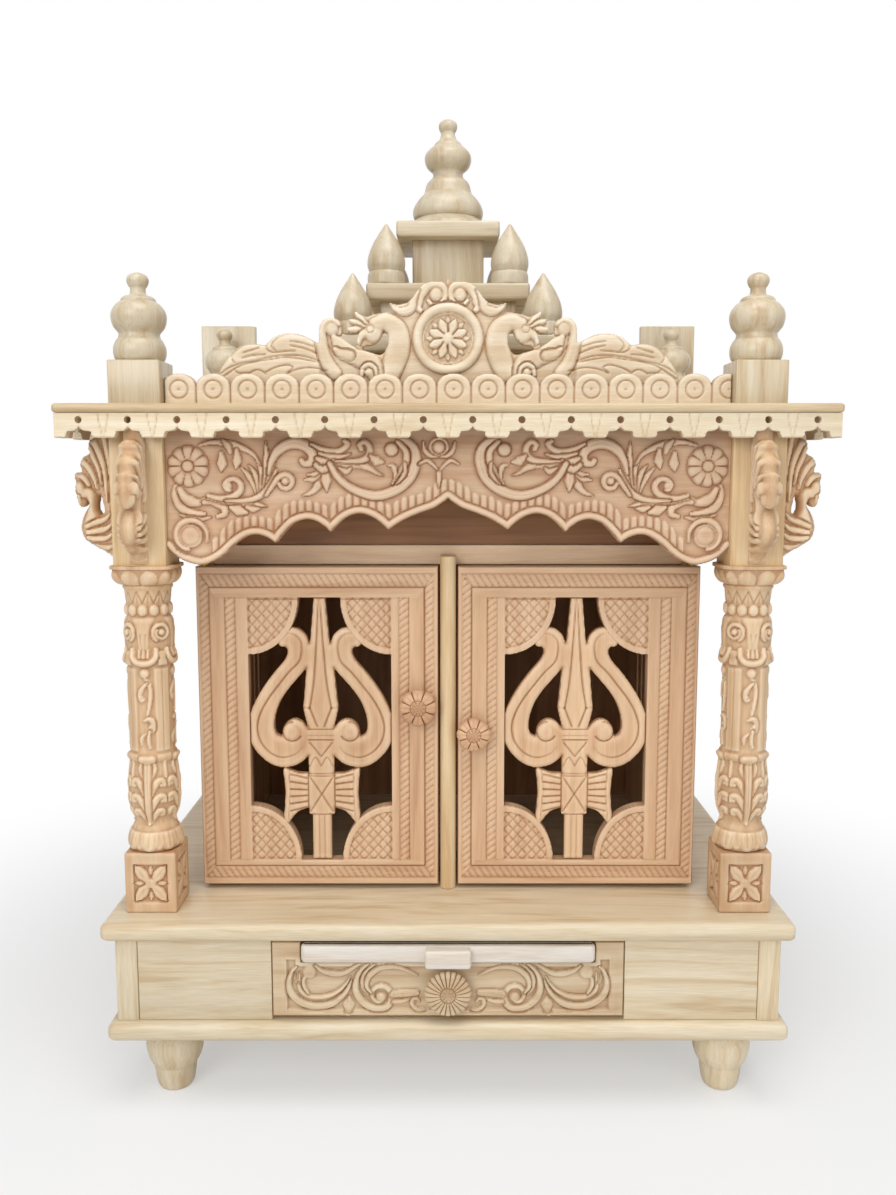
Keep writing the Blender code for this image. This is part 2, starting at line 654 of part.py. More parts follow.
def make_roof(wood, carved):
    """Roof board, the pierced fringe on three sides and the parapet."""
    box("roof_board", (-ROOF_HALF, ROOF_HALF), (ROOF_FRONT, ROOF_BACK), (Z_ROOF, Z_TOP), wood,
        0.003)
    inset = 0.002
    length = 2 * (ROOF_HALF - inset)
    y = ROOF_FRONT + inset
    hole_z = Z_ROOF - FRINGE_H * 0.28
    front = plate("fringe_front", fringe_outline(length, FRONT_BAYS), (y, y + FRINGE_T), carved)
    pitch = length / FRONT_BAYS
    centres = [(-length / 2 + (k + 0.5) * pitch, hole_z) for k in range(FRONT_BAYS)]
    join_with(front, holes("fringe_holes_front", centres, 0.0034, (y - 0.01, y + 0.03)),
              "DIFFERENCE")
    y1 = ROOF_BACK - inset
    side_len = y1 - (y + FRINGE_T + GAP)
    bays = max(3, round(side_len / pitch))
    mid = (y1 + y + FRINGE_T + GAP) / 2
    for side, sx in (("left", -1), ("right", 1)):
        x = sorted((sx * (ROOF_HALF - inset), sx * (ROOF_HALF - inset - FRINGE_T)))
        outline = [(mid + a, z) for a, z in fringe_outline(side_len, bays)]
        piece = plate("fringe_" + side, outline, x, carved, "YZ")
        centres = [(mid - side_len / 2 + (k + 0.5) * side_len / bays, hole_z) for k in range(bays)]
        join_with(piece, holes("fringe_holes_" + side, centres, 0.0034,
                               (x[0] - 0.01, x[1] + 0.01), "YZ"), "DIFFERENCE")


def make_parapet(carved):
    """Row of round-topped arches between the front corner blocks."""
    half = COLUMN_X - BLOCK / 2 - GAP
    arch = 2 * half / (PARAPET_ARCHES + 0.4)
    z0 = Z_TOP + GAP
    spring = z0 + PARAPET_H * 0.60
    rise = PARAPET_H * 0.40
    out = [(half, z0), (-half, z0), (-half, spring)]
    start = -half + 0.2 * arch
    for k in range(PARAPET_ARCHES):
        c = start + (k + 0.5) * arch
        for a in (172, 140, 115, 90, 65, 40, 8):
            t = math.radians(a)
            out.append((c + 0.5 * arch * math.cos(t), spring + rise * math.sin(t)))
    out.append((half, spring))
    y = Y0 + PARAPET_SET_BACK
    plate("parapet", out, (y, y + PARAPET_T), carved)


CREST = [
    (0.000, 1.000), (0.010, 0.935), (0.068, 0.932), (0.103, 0.914), (0.154, 0.808),
    (0.219, 0.766), (0.250, 0.778), (0.223, 0.705), (0.199, 0.691), (0.288, 0.705), (0.350, 0.676),
    (0.396, 0.714), (0.401, 0.695), (0.396, 0.663), (0.429, 0.657), (0.437, 0.594), (0.382, 0.564),
    (0.382, 0.541), (0.396, 0.436), (0.376, 0.430), (0.338, 0.461), (0.281, 0.562), (0.260, 0.528),
    (0.267, 0.430), (0.289, 0.392), (0.372, 0.428), (0.459, 0.518), (0.476, 0.531), (0.457, 0.600),
    (0.487, 0.663), (0.512, 0.667), (0.552, 0.594), (0.554, 0.505), (0.591, 0.508), (0.675, 0.551),
    (0.749, 0.520), (0.787, 0.467), (0.862, 0.471), (0.913, 0.430), (0.961, 0.332), (1.000, 0.250),
    (1.000, 0.000)]


def make_crest(carved):
    """Crest over the parapet: a medallion between two peacocks, with feathers to each side."""
    z0 = Z_TOP + GAP
    half = [(u * CREST_HALF_W, z0 + v * (CREST_H - GAP)) for u, v in CREST]
    y = Y0 + CREST_SET_BACK
    body = plate("crest", mirrored(half), (y, y + PLATE_T), carved)
    cz = z0 + CREST_H * 0.511
    disc = [(x, cz + z) for x, z in arc(0.0, 0.0, MEDALLION_R, 0, 345, 23)]
    join_with(body, plate("crest_medallion", disc, (y - 0.0025, y + PLATE_T * 0.5), None, "XZ",
                          True))


FINIAL_PROFILE = [(0.0, 0.78), (0.05, 0.90), (0.16, 0.96), (0.25, 0.84), (0.30, 0.74), (0.38, 0.90),
                  (0.50, 1.0), (0.60, 0.90), (0.68, 0.62), (0.72, 0.48), (0.75, 0.30), (0.82, 0.28),
                  (0.85, 0.36), (0.92, 0.40), (0.97, 0.28), (1.0, 0.10)]


def make_finials(wood):
    """Corner blocks with turned finials; each rear one has a flat board behind it."""
    z0 = Z_TOP + GAP
    half = BLOCK / 2 - 0.0008
    rings = [(z0 + FINIAL_BLOCK_H - 0.001, FINIAL_R * 0.78)]
    for t, r in FINIAL_PROFILE:
        rings.append((z0 + FINIAL_BLOCK_H + max(t, 0.01) * FINIAL_H, FINIAL_R * r))
    for side, sx in (("left", -1), ("right", 1)):
        for row, y in (("front", COLUMN_Y), ("rear", REAR_Y)):
            x = sx * COLUMN_X
            body = square_stack("finial_" + row + "_" + side, x, y,
                                [(z0, half), (z0 + FINIAL_BLOCK_H, half)], wood)
            join_with(body, turned("finial_turning_" + row + "_" + side, x, y, rings, None, 16,
                                   True))
            if row == "rear":
                w = BLOCK * 0.71
                join_with(body, box("rear_board_" + side, (x - w, x + w),
                                    (y + half - 0.001, y + half + 0.012),
                                    (z0, z0 + FINIAL_BLOCK_H + FINIAL_H + 0.008), None, 0, True))


BUD_PROFILE = [(0.0, 0.95), (0.06, 1.0), (0.14, 1.0), (0.20, 0.90), (0.24, 0.94), (0.40, 1.0),
               (0.58, 0.82), (0.78, 0.50), (0.92, 0.22), (1.0, 0.05)]


def tier(name, z0, block, block_h, slab, buds_at, wood, y, dome=None):
    """One storey of the tower: block, slab with rounded edge and four buds on its corners."""
    z1 = z0 + block_h
    z2 = z1 + SLAB_T - GAP
    b = block / 2
    s = slab / 2
    body = square_stack(name, 0.0, y, [(z0, b), (z1, b), (z1 + 0.0002, s - 0.004),
                                       (z1 + SLAB_T * 0.3, s), (z2 - 0.003, s), (z2, s - 0.002)],
                        wood)
    if buds_at > 0:
        centres = [(-buds_at, y - buds_at), (buds_at, y - buds_at), (-buds_at, y + buds_at),
                   (buds_at, y + buds_at)]
        rings = [(z2 - 0.001 if t == 0 else z2 + t * BUD_H, BUD_R * r) for t, r in BUD_PROFILE]
        join_with(body, turned_many(name + "_buds", centres, rings, 12))
    if dome is not None:
        rings = [(z2 - 0.001 if t == 0 else z2 + t * (DOME_H - 3 * GAP), block * 0.617 * r)
                 for t, r in dome]
        join_with(body, turned(name + "_dome", 0.0, y, rings, None, 20, True))
    return z1 + SLAB_T


DOME_PROFILE = [(0.0, 1.0), (0.05, 0.90), (0.11, 0.72), (0.16, 0.80), (0.33, 0.82), (0.35, 0.50),
                (0.49, 0.52), (0.52, 0.34), (0.58, 0.46), (0.64, 0.54), (0.72, 0.46), (0.79, 0.28),
                (0.82, 0.16), (0.89, 0.16), (0.92, 0.21), (0.96, 0.20), (1.0, 0.06)]


def make_tower(wood):
    """Three-storey tower with buds and a turned dome."""
    z = Z_TOP + GAP
    over = TOWER_OVER
    z = tier("tower_lower", z, TOWER_LOWER, TIER_H, TOWER_LOWER + 2 * over, TOWER_LOWER * 0.515,
             wood, Y_MID) + GAP
    z = tier("tower_middle", z, TOWER_MIDDLE, TIER_MIDDLE_H, TOWER_MIDDLE + 2 * over * 0.65,
             TOWER_MIDDLE * 0.457, wood, Y_MID) + GAP
    tier("tower_top", z, TOWER_TOP, TIER_TOP_H, TOWER_TOP + 2 * over * 0.76, 0, wood, Y_MID,
         DOME_PROFILE)


def main():
    """Clear the scene and build every piece."""
    for obj in list(bpy.data.objects):
        bpy.data.objects.remove(obj)
    pale = material("pale_wood", (0.72, 0.50, 0.30), 0.5)
    peach = material("peach_wood", (0.70, 0.45, 0.28), 0.5)
    carved = material("carved_wood", (0.68, 0.44, 0.27), 0.55)
    inside = material("inside_wood", (0.40, 0.24, 0.14), 0.6)
    turned_mat = material("turned_wood", (0.72, 0.48, 0.29), 0.45)
    tray = material("tray_wood", (0.80, 0.66, 0.48), 0.5)
    brass = material("pivot_brass", (0.75, 0.55, 0.25), 0.35)
    make_feet(turned_mat)
    make_base(pale, inside)
    make_drawer(pale, inside, carved)
    make_tray(inside, tray)
    make_columns(turned_mat)
    make_rear_posts(peach)
    make_brackets(carved)
    make_valance(carved)
    make_cabinet(peach, inside, brass)
    make_door("left", -1, peach, carved)
    make_door("right", 1, peach, carved)
    make_roof(pale, carved)
    make_parapet(carved)
    make_crest(carved)
    make_finials(turned_mat)
    make_tower(turned_mat)


main()
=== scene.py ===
"""Looks of the pooja mandir: a household temple carved and turned in pale wood.

Every carved face is a height field in millimetres over a grid, raised and cut by strokes whose
distance to each grid point is worked out as whole arrays. Turned work is a radius over angle and
height. The carving is worked out in millimetres and put into the meshes in metres.
"""

import logging
import math
from dataclasses import dataclass, field
from enum import Enum
from typing import Callable, Optional, Sequence

import bmesh
import bpy
import numpy as np
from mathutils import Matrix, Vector


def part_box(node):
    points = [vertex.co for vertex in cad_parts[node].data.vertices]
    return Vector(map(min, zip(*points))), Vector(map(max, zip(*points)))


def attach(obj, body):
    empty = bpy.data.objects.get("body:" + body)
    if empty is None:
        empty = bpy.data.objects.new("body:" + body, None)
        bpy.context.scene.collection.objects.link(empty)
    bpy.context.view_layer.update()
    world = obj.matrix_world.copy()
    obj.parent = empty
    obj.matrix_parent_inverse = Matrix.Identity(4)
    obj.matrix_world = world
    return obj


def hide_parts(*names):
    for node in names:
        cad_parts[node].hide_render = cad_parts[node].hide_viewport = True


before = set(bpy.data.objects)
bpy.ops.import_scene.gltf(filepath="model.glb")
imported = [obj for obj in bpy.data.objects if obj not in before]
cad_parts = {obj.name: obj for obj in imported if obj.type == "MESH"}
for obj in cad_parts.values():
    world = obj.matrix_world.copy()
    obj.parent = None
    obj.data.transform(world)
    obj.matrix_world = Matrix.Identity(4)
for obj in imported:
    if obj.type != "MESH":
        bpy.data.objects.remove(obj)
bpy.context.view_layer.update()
logging.basicConfig(level=logging.INFO, format="%(message)s")
log = logging.getLogger("mandir")

Array = np.ndarray
Point = tuple[float, float]
Width = Sequence[Point]  # (share of a path's length, half width) pairs
MM = 0.001
ROOT = "cabinet"
ALONG_FIBRE = 0.045  # how often the fibres' noise changes along the grain, against across it
ALONG_PATCH = 0.18  # the same for the broad, soft patches of a board


class Grain(Enum):
    """Direction in which the fibres of a board run."""

    X = 0
    Y = 1
    Z = 2


def box_of(node: str) -> tuple[Array, Array]:
    """Corners of a CAD node.

    Args:
        node: name of the CAD node.
    Returns:
        Its lowest and its highest corner, in metres.
    """
    lo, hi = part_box(node)
    return np.array(lo), np.array(hi)


def linear(code: str) -> tuple[float, float, float, float]:
    """Turn an sRGB hex colour into linear values.

    Args:
        code: colour such as "#c89a68".
    Returns:
        Red, green, blue and alpha.
    """
    raw = [int(code[i:i + 2], 16) / 255 for i in (1, 3, 5)]
    lin = [c / 12.92 if c <= 0.04045 else ((c + 0.055) / 1.055) ** 2.4 for c in raw]
    return lin[0], lin[1], lin[2], 1.0


def node(tree: bpy.types.NodeTree, kind: str, settings: Optional[dict] = None,
         **sockets: object) -> bpy.types.Node:
    """Add a shader node with its settings, values and links.

    Args:
        tree: the material's node tree.
        kind: node type without its "ShaderNode" prefix.
        settings: node properties to set.
        sockets: input values, or output sockets to link, keyed by input name or "i" and its index.
    Returns:
        The new node.
    """
    made = tree.nodes.new("ShaderNode" + kind)
    for key, value in (settings or {}).items():
        setattr(made, key, value)
    for key, value in sockets.items():
        place = made.inputs[int(key[1:]) if key[1:].isdigit() else key.replace("_", " ")]
        if isinstance(value, bpy.types.NodeSocket):
            tree.links.new(value, place)
        else:
            place.default_value = value
    return made


def blank_material(name: str) -> tuple[bpy.types.Material, bpy.types.NodeTree, bpy.types.Node]:
    """Start a node material.

    Args:
        name: name of the finish.
    Returns:
        The material, its node tree and its shader.
    """
    mat = bpy.data.materials.new(name)
    mat.use_nodes = True
    return mat, mat.node_tree, mat.node_tree.nodes["Principled BSDF"]


@dataclass(frozen=True)
class WoodFinish:
    """Seasoned pale hardwood, planed or carved, under a thin satin sealer.

    The fibres are drawn 1.2 mm wide, several times their real width, so that they show. Bands of
    early and late wood come 14 mm apart. Cut hollows get painted shade and crests painted
    highlight.
    """

    name: str
    light: str = "#e8cfa6"
    dark: str = "#dfc092"
    streak: str = "#cda877"
    # colours of the painted shade in cut hollows and of the painted highlight on the crests
    hollow: str = "#b07c49"
    crest: str = "#f4e0be"
    roughness: float = 0.42
    fibre_mm: float = 1.2
    band_mm: float = 14.0
    grain: Grain = Grain.Z
    seed: float = 0.0

    def build(self) -> bpy.types.Material:
        """Make the material.

        Returns:
            The wood as a node material on object coordinates.
        """
        mat, tree, shader = blank_material(self.name)
        place = node(tree, "TexCoord").outputs["Object"]
        along = [1.0, 1.0, 1.0]
        along[self.grain.value] = ALONG_FIBRE
        moved = node(tree, "Mapping", i0=place, i1=(self.seed, self.seed * 0.7, self.seed * 1.3),
                     i3=tuple(along)).outputs[0]
        soft = [1.0, 1.0, 1.0]
        soft[self.grain.value] = ALONG_PATCH
        broad = node(tree, "Mapping", i0=place, i1=(self.seed * 2, 3.1, self.seed),
                     i3=tuple(soft)).outputs[0]
        warp = node(tree, "TexNoise", Vector=broad, Scale=9.0, Detail=2.0, Roughness=0.5)
        bent = node(tree, "MixRGB", dict(blend_type="LINEAR_LIGHT"), i0=0.035, i1=moved,
                    i2=warp.outputs["Color"])
        bands = node(tree, "TexNoise", Vector=bent.outputs[0], Scale=1000 / self.band_mm,
                     Detail=3.0, Roughness=0.55)
        fibre = node(tree, "TexNoise", Vector=moved, Scale=1000 / self.fibre_mm, Detail=2.0,
                     Roughness=0.6)
        patch = node(tree, "TexNoise", Vector=broad, Scale=5.0, Detail=3.0, Roughness=0.5)
        tone = node(tree, "ValToRGB", i0=bands.outputs["Fac"])
        stops = tone.color_ramp
        stops.elements[0].position = 0.30
        stops.elements[0].color = linear(self.streak)
        stops.elements[1].position = 0.66
        stops.elements[1].color = linear(self.light)
        mid = stops.elements.new(0.45)
        mid.color = linear(self.dark)
        fine = node(tree, "MapRange", i0=fibre.outputs["Fac"], i1=0.3, i2=0.7, i3=0.91, i4=1.05)
        wide = node(tree, "MapRange", i0=patch.outputs["Fac"], i1=0.3, i2=0.7, i3=0.90, i4=1.07)
        both = node(tree, "Math", dict(operation="MULTIPLY"), i0=fine.outputs[0],
                    i1=wide.outputs[0])
        grey = node(tree, "MixRGB", dict(blend_type="MULTIPLY"), i0=1.0, i1=tone.outputs["Color"],
                    i2=both.outputs[0])
        # painted shade in the hollows and painted highlight on the crests, by each mesh's amounts
        cut = node(tree, "Attribute", dict(attribute_name="hollow"))
        top = node(tree, "Attribute", dict(attribute_name="crest"))
        deep = node(tree, "MixRGB", dict(blend_type="MIX"), i0=cut.outputs["Fac"],
                    i1=grey.outputs[0], i2=linear(self.hollow))
        lit = node(tree, "Math", dict(operation="MULTIPLY"), i0=top.outputs["Fac"], i1=0.55)
        final = node(tree, "MixRGB", dict(blend_type="MIX"), i0=lit.outputs[0], i1=deep.outputs[0],
                     i2=linear(self.crest))
        tree.links.new(final.outputs[0], shader.inputs["Base Color"])
        gloss = node(tree, "MapRange", i0=fibre.outputs["Fac"], i1=0.3, i2=0.7,
                     i3=self.roughness - 0.06, i4=self.roughness + 0.10)
        tree.links.new(gloss.outputs[0], shader.inputs["Roughness"])
        rise = node(tree, "Math", dict(operation="ADD"), i0=fibre.outputs["Fac"],
                    i1=bands.outputs["Fac"])
        bump = node(tree, "Bump", Strength=0.22, Distance=0.0003, Height=rise.outputs[0])
        tree.links.new(bump.outputs[0], shader.inputs["Normal"])
        shader.inputs["IOR"].default_value = 1.5
        shader.inputs["Coat Weight"].default_value = 0.12
        shader.inputs["Coat Roughness"].default_value = 0.35
        return mat


@dataclass(frozen=True)
class BrassFinish:
    """Rolled brass of the door pivots, rubbed by hand: warm, with short scratches."""

    name: str = "rolled_brass"
    tone: str = "#c9a24e"
    worn: str = "#8a6a30"
    roughness: float = 0.32

    def build(self) -> bpy.types.Material:
        """Make the material.

        Returns:
            The brass as a node material.
        """
        mat, tree, shader = blank_material(self.name)
        place = node(tree, "TexCoord").outputs["Object"]
        spots = node(tree, "TexNoise", Vector=place, Scale=420.0, Detail=4.0)
        mix = node(tree, "MixRGB", i0=spots.outputs["Fac"], i1=linear(self.worn),
                   i2=linear(self.tone))
        tree.links.new(mix.outputs[0], shader.inputs["Base Color"])
        rough = node(tree, "MapRange", i0=spots.outputs["Fac"], i3=self.roughness - 0.08,
                     i4=self.roughness + 0.12)
        tree.links.new(rough.outputs[0], shader.inputs["Roughness"])
        shader.inputs["Metallic"].default_value = 1.0
        return mat


@dataclass
class Shell:
    """Points and faces of one closed surface, with the values its finish reads."""

    points: Array
    quads: Array = field(default_factory=lambda: np.zeros((0, 4), int))
    tris: Array = field(default_factory=lambda: np.zeros((0, 3), int))
    rings: list[list[int]] = field(default_factory=list)
    # amounts of painted shade in hollows and painted highlight on crests, per point
    hollow: Optional[Array] = None
    crest: Optional[Array] = None

    def mirrored(self) -> "Shell":
        """The same surface on the other side of X = 0, still facing out."""
        points = self.points * np.array([-1.0, 1.0, 1.0])
        return Shell(points, self.quads[:, ::-1], self.tris[:, ::-1],
                     [r[::-1] for r in self.rings], self.hollow, self.crest)

    def moved(self, shift: Sequence[float]) -> "Shell":
        """The same surface moved by a vector."""
        return Shell(self.points + np.array(shift), self.quads, self.tris, self.rings,
                     self.hollow, self.crest)


def joined(shells: Sequence[Shell]) -> Shell:
    """Put several closed surfaces into one mesh.

    Args:
        shells: the surfaces.
    Returns:
        One shell that holds them all.
    """
    points, quads, tris, rings, low, high = [], [], [], [], [], []
    start = 0
    for s in shells:
        points.append(s.points)
        quads.append(s.quads + start)
        tris.append(s.tris + start)
        rings += [[k + start for k in r] for r in s.rings]
        n = len(s.points)
        low.append(np.zeros(n) if s.hollow is None else s.hollow)
        high.append(np.zeros(n) if s.crest is None else s.crest)
        start += n
    return Shell(np.vstack(points), np.vstack(quads), np.vstack(tris), rings,
                 np.concatenate(low), np.concatenate(high))


def show(name: str, shell: Shell, mat: bpy.types.Material, nodes: Sequence[str] = (),
         body: str = ROOT, sharp: float = 38.0) -> bpy.types.Object:
    """Make an object from a shell and put it on its body.

    Args:
        name: object name.
        shell: the surface.
        mat: its finish.
        nodes: CAD nodes that it stands for.
        body: CAD body that it moves with.
        sharp: faces that meet at more than this angle, in degrees, keep a crisp edge.
    Returns:
        The object.
    """
    mesh = bpy.data.meshes.new(name)
    sizes = np.concatenate([np.full(len(shell.quads), 4), np.full(len(shell.tris), 3),
                            np.array([len(r) for r in shell.rings], int)]).astype(int)
    corners = np.concatenate([shell.quads.ravel(), shell.tris.ravel(),
                              np.array([k for r in shell.rings for k in r], int)]).astype(int)
    mesh.vertices.add(len(shell.points))
    mesh.vertices.foreach_set("co", shell.points.astype(np.float32).ravel())
    mesh.loops.add(len(corners))
    mesh.loops.foreach_set("vertex_index", corners)
    mesh.polygons.add(len(sizes))
    mesh.polygons.foreach_set("loop_start", np.concatenate([[0], np.cumsum(sizes)[:-1]]))
    mesh.polygons.foreach_set("loop_total", sizes)
    mesh.update(calc_edges=True)
    mesh.validate()
    # painted shade and painted highlight amounts, for the finish to read
    for key, values in (("hollow", shell.hollow), ("crest", shell.crest)):
        if values is not None and len(values) == len(mesh.vertices):
            layer = mesh.attributes.new(key, "FLOAT", "POINT")
            layer.data.foreach_set("value", np.clip(values, 0, 1).astype(np.float32))
    mesh.shade_smooth()
    mesh.set_sharp_from_angle(angle=math.radians(sharp))
    mesh.materials.append(mat)
    obj = bpy.data.objects.new(name, mesh)
    bpy.context.scene.collection.objects.link(obj)
    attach(obj, body)
    if nodes:
        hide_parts(*nodes)
    log.info("%-28s %7d triangles on %s", name,
             2 * len(shell.quads) + len(shell.tris) + sum(len(r) - 2 for r in shell.rings), body)
    return obj


def smooth_path(points: Sequence[Point], steps: int = 10) -> Array:
    """Carry a Catmull-Rom curve through a few points.

    Args:
        points: control points.
        steps: pieces between each two of them.
    Returns:
        The points of the curve.
    """
    p = np.asarray(points, float)
    if len(p) < 3:
        t = np.linspace(0, 1, steps + 1)[:, None]
        return p[0] * (1 - t) + p[-1] * t
    q = np.vstack([2 * p[0] - p[1], p, 2 * p[-1] - p[-2]])
    t = np.linspace(0, 1, steps, endpoint=False)[:, None]
    out = []
    for a, b, c, d in zip(q[:-3], q[1:-2], q[2:-1], q[3:]):
        out.append(0.5 * (2 * b + (c - a) * t + (2 * a - 5 * b + 4 * c - d) * t ** 2
                          + (3 * b - a - 3 * c + d) * t ** 3))
    return np.vstack(out + [p[-1:]])


def spiral(cu: float, cw: float, r0: float, r1: float, start: float, turns: float,
           steps: int = 44) -> Array:
    """A volute: the radius falls from r0 to r1 while the angle turns.

    Args:
        cu: centre across.
        cw: centre up.
        r0: outer radius.
        r1: inner radius.
        start: angle at the outer end, in degrees.
        turns: full turns, negative for clockwise.
        steps: number of points less one.
    Returns:
        The points of the curve.
    """
    t = np.linspace(0, 1, steps + 1)
    a = math.radians(start) + 2 * math.pi * turns * t
    r = r0 + (r1 - r0) * t ** 0.85
    return np.stack([cu + r * np.cos(a), cw + r * np.sin(a)], 1)


def to_path(u: Array, w: Array, path: Array) -> tuple[Array, Array]:
    """Distance from grid points to a path.

    Args:
        u: across values.
        w: up values.
        path: points of the path.
    Returns:
        Distance and share of the path's length at the nearest point.
    """
    best = np.full(u.shape, 1e9)
    share = np.zeros(u.shape)
    seg = np.diff(path, axis=0)
    long = np.hypot(seg[:, 0], seg[:, 1]) + 1e-12
    total = long.sum()
    run = 0.0
    for (au, aw), (du, dw), n in zip(path[:-1], seg, long):
        t = np.clip(((u - au) * du + (w - aw) * dw) / (n * n), 0, 1)
        d = np.hypot(u - au - t * du, w - aw - t * dw)
        near = d < best
        best = np.where(near, d, best)
        share = np.where(near, (run + t * n) / total, share)
        run += n
    return best, share


def to_outline(u: Array, w: Array, loops: Sequence[Array]) -> tuple[Array, Array, Array]:
    """Signed distance from grid points to closed outlines.

    Args:
        u: across values.
        w: up values.
        loops: closed outlines; a point inside an odd number of them is inside.
    Returns:
        Distance, negative inside, and the nearest outline point across and up.
    """
    best = np.full(u.shape, 1e9)
    nu = np.zeros(u.shape)
    nw = np.zeros(u.shape)
    odd = np.zeros(u.shape, bool)
    for loop in loops:
        for (au, aw), (bu, bw) in zip(loop, np.roll(loop, -1, 0)):
            du, dw = bu - au, bw - aw
            n = du * du + dw * dw
            if n < 1e-16:
                continue
            t = np.clip(((u - au) * du + (w - aw) * dw) / n, 0, 1)
            pu = au + t * du
            pw = aw + t * dw
            d = (u - pu) ** 2 + (w - pw) ** 2
            near = d < best
            best = np.where(near, d, best)
            nu = np.where(near, pu, nu)
            nw = np.where(near, pw, nw)
            if aw != bw:
                cross = ((aw > w) != (bw > w)) & (u < (bu - au) * (w - aw) / (bw - aw) + au)
                odd ^= cross
    best = np.sqrt(best)
    return np.where(odd, -best, best), nu, nw


def fade(x: Array, width: float) -> Array:
    """1 where x is 0, falling in a straight line to 0 at the width."""
    return np.clip(1 - x / width, 0, 1)


def ramp(x: Array, start: float, width: float) -> Array:
    """0 up to the start, rising in a straight line to 1 one width farther on."""
    return np.clip((x - start) / width, 0, 1)


def arc(q: Array, power: float = 2.0) -> Array:
    """Rounded section (1 - q ** power) ** 0.5, and 0 where q is past 1."""
    return np.sqrt(np.clip(1 - q ** power, 0, 1))


def blurred(h: Array, cells: int) -> Array:
    """Mean of a height field over a square window, run twice for a soft edge.

    Args:
        h: the height field.
        cells: half width of the window.
    Returns:
        The blurred field.
    """
    out = h
    for _ in range(2):
        for axis in (0, 1):
            pad = [(0, 0), (0, 0)]
            pad[axis] = (cells + 1, cells)
            c = np.cumsum(np.pad(out, pad, mode="edge"), axis=axis)
            n = 2 * cells + 1
            out = (np.take(c, range(n, c.shape[axis]), axis)
                   - np.take(c, range(0, c.shape[axis] - n), axis)) / n
    return out


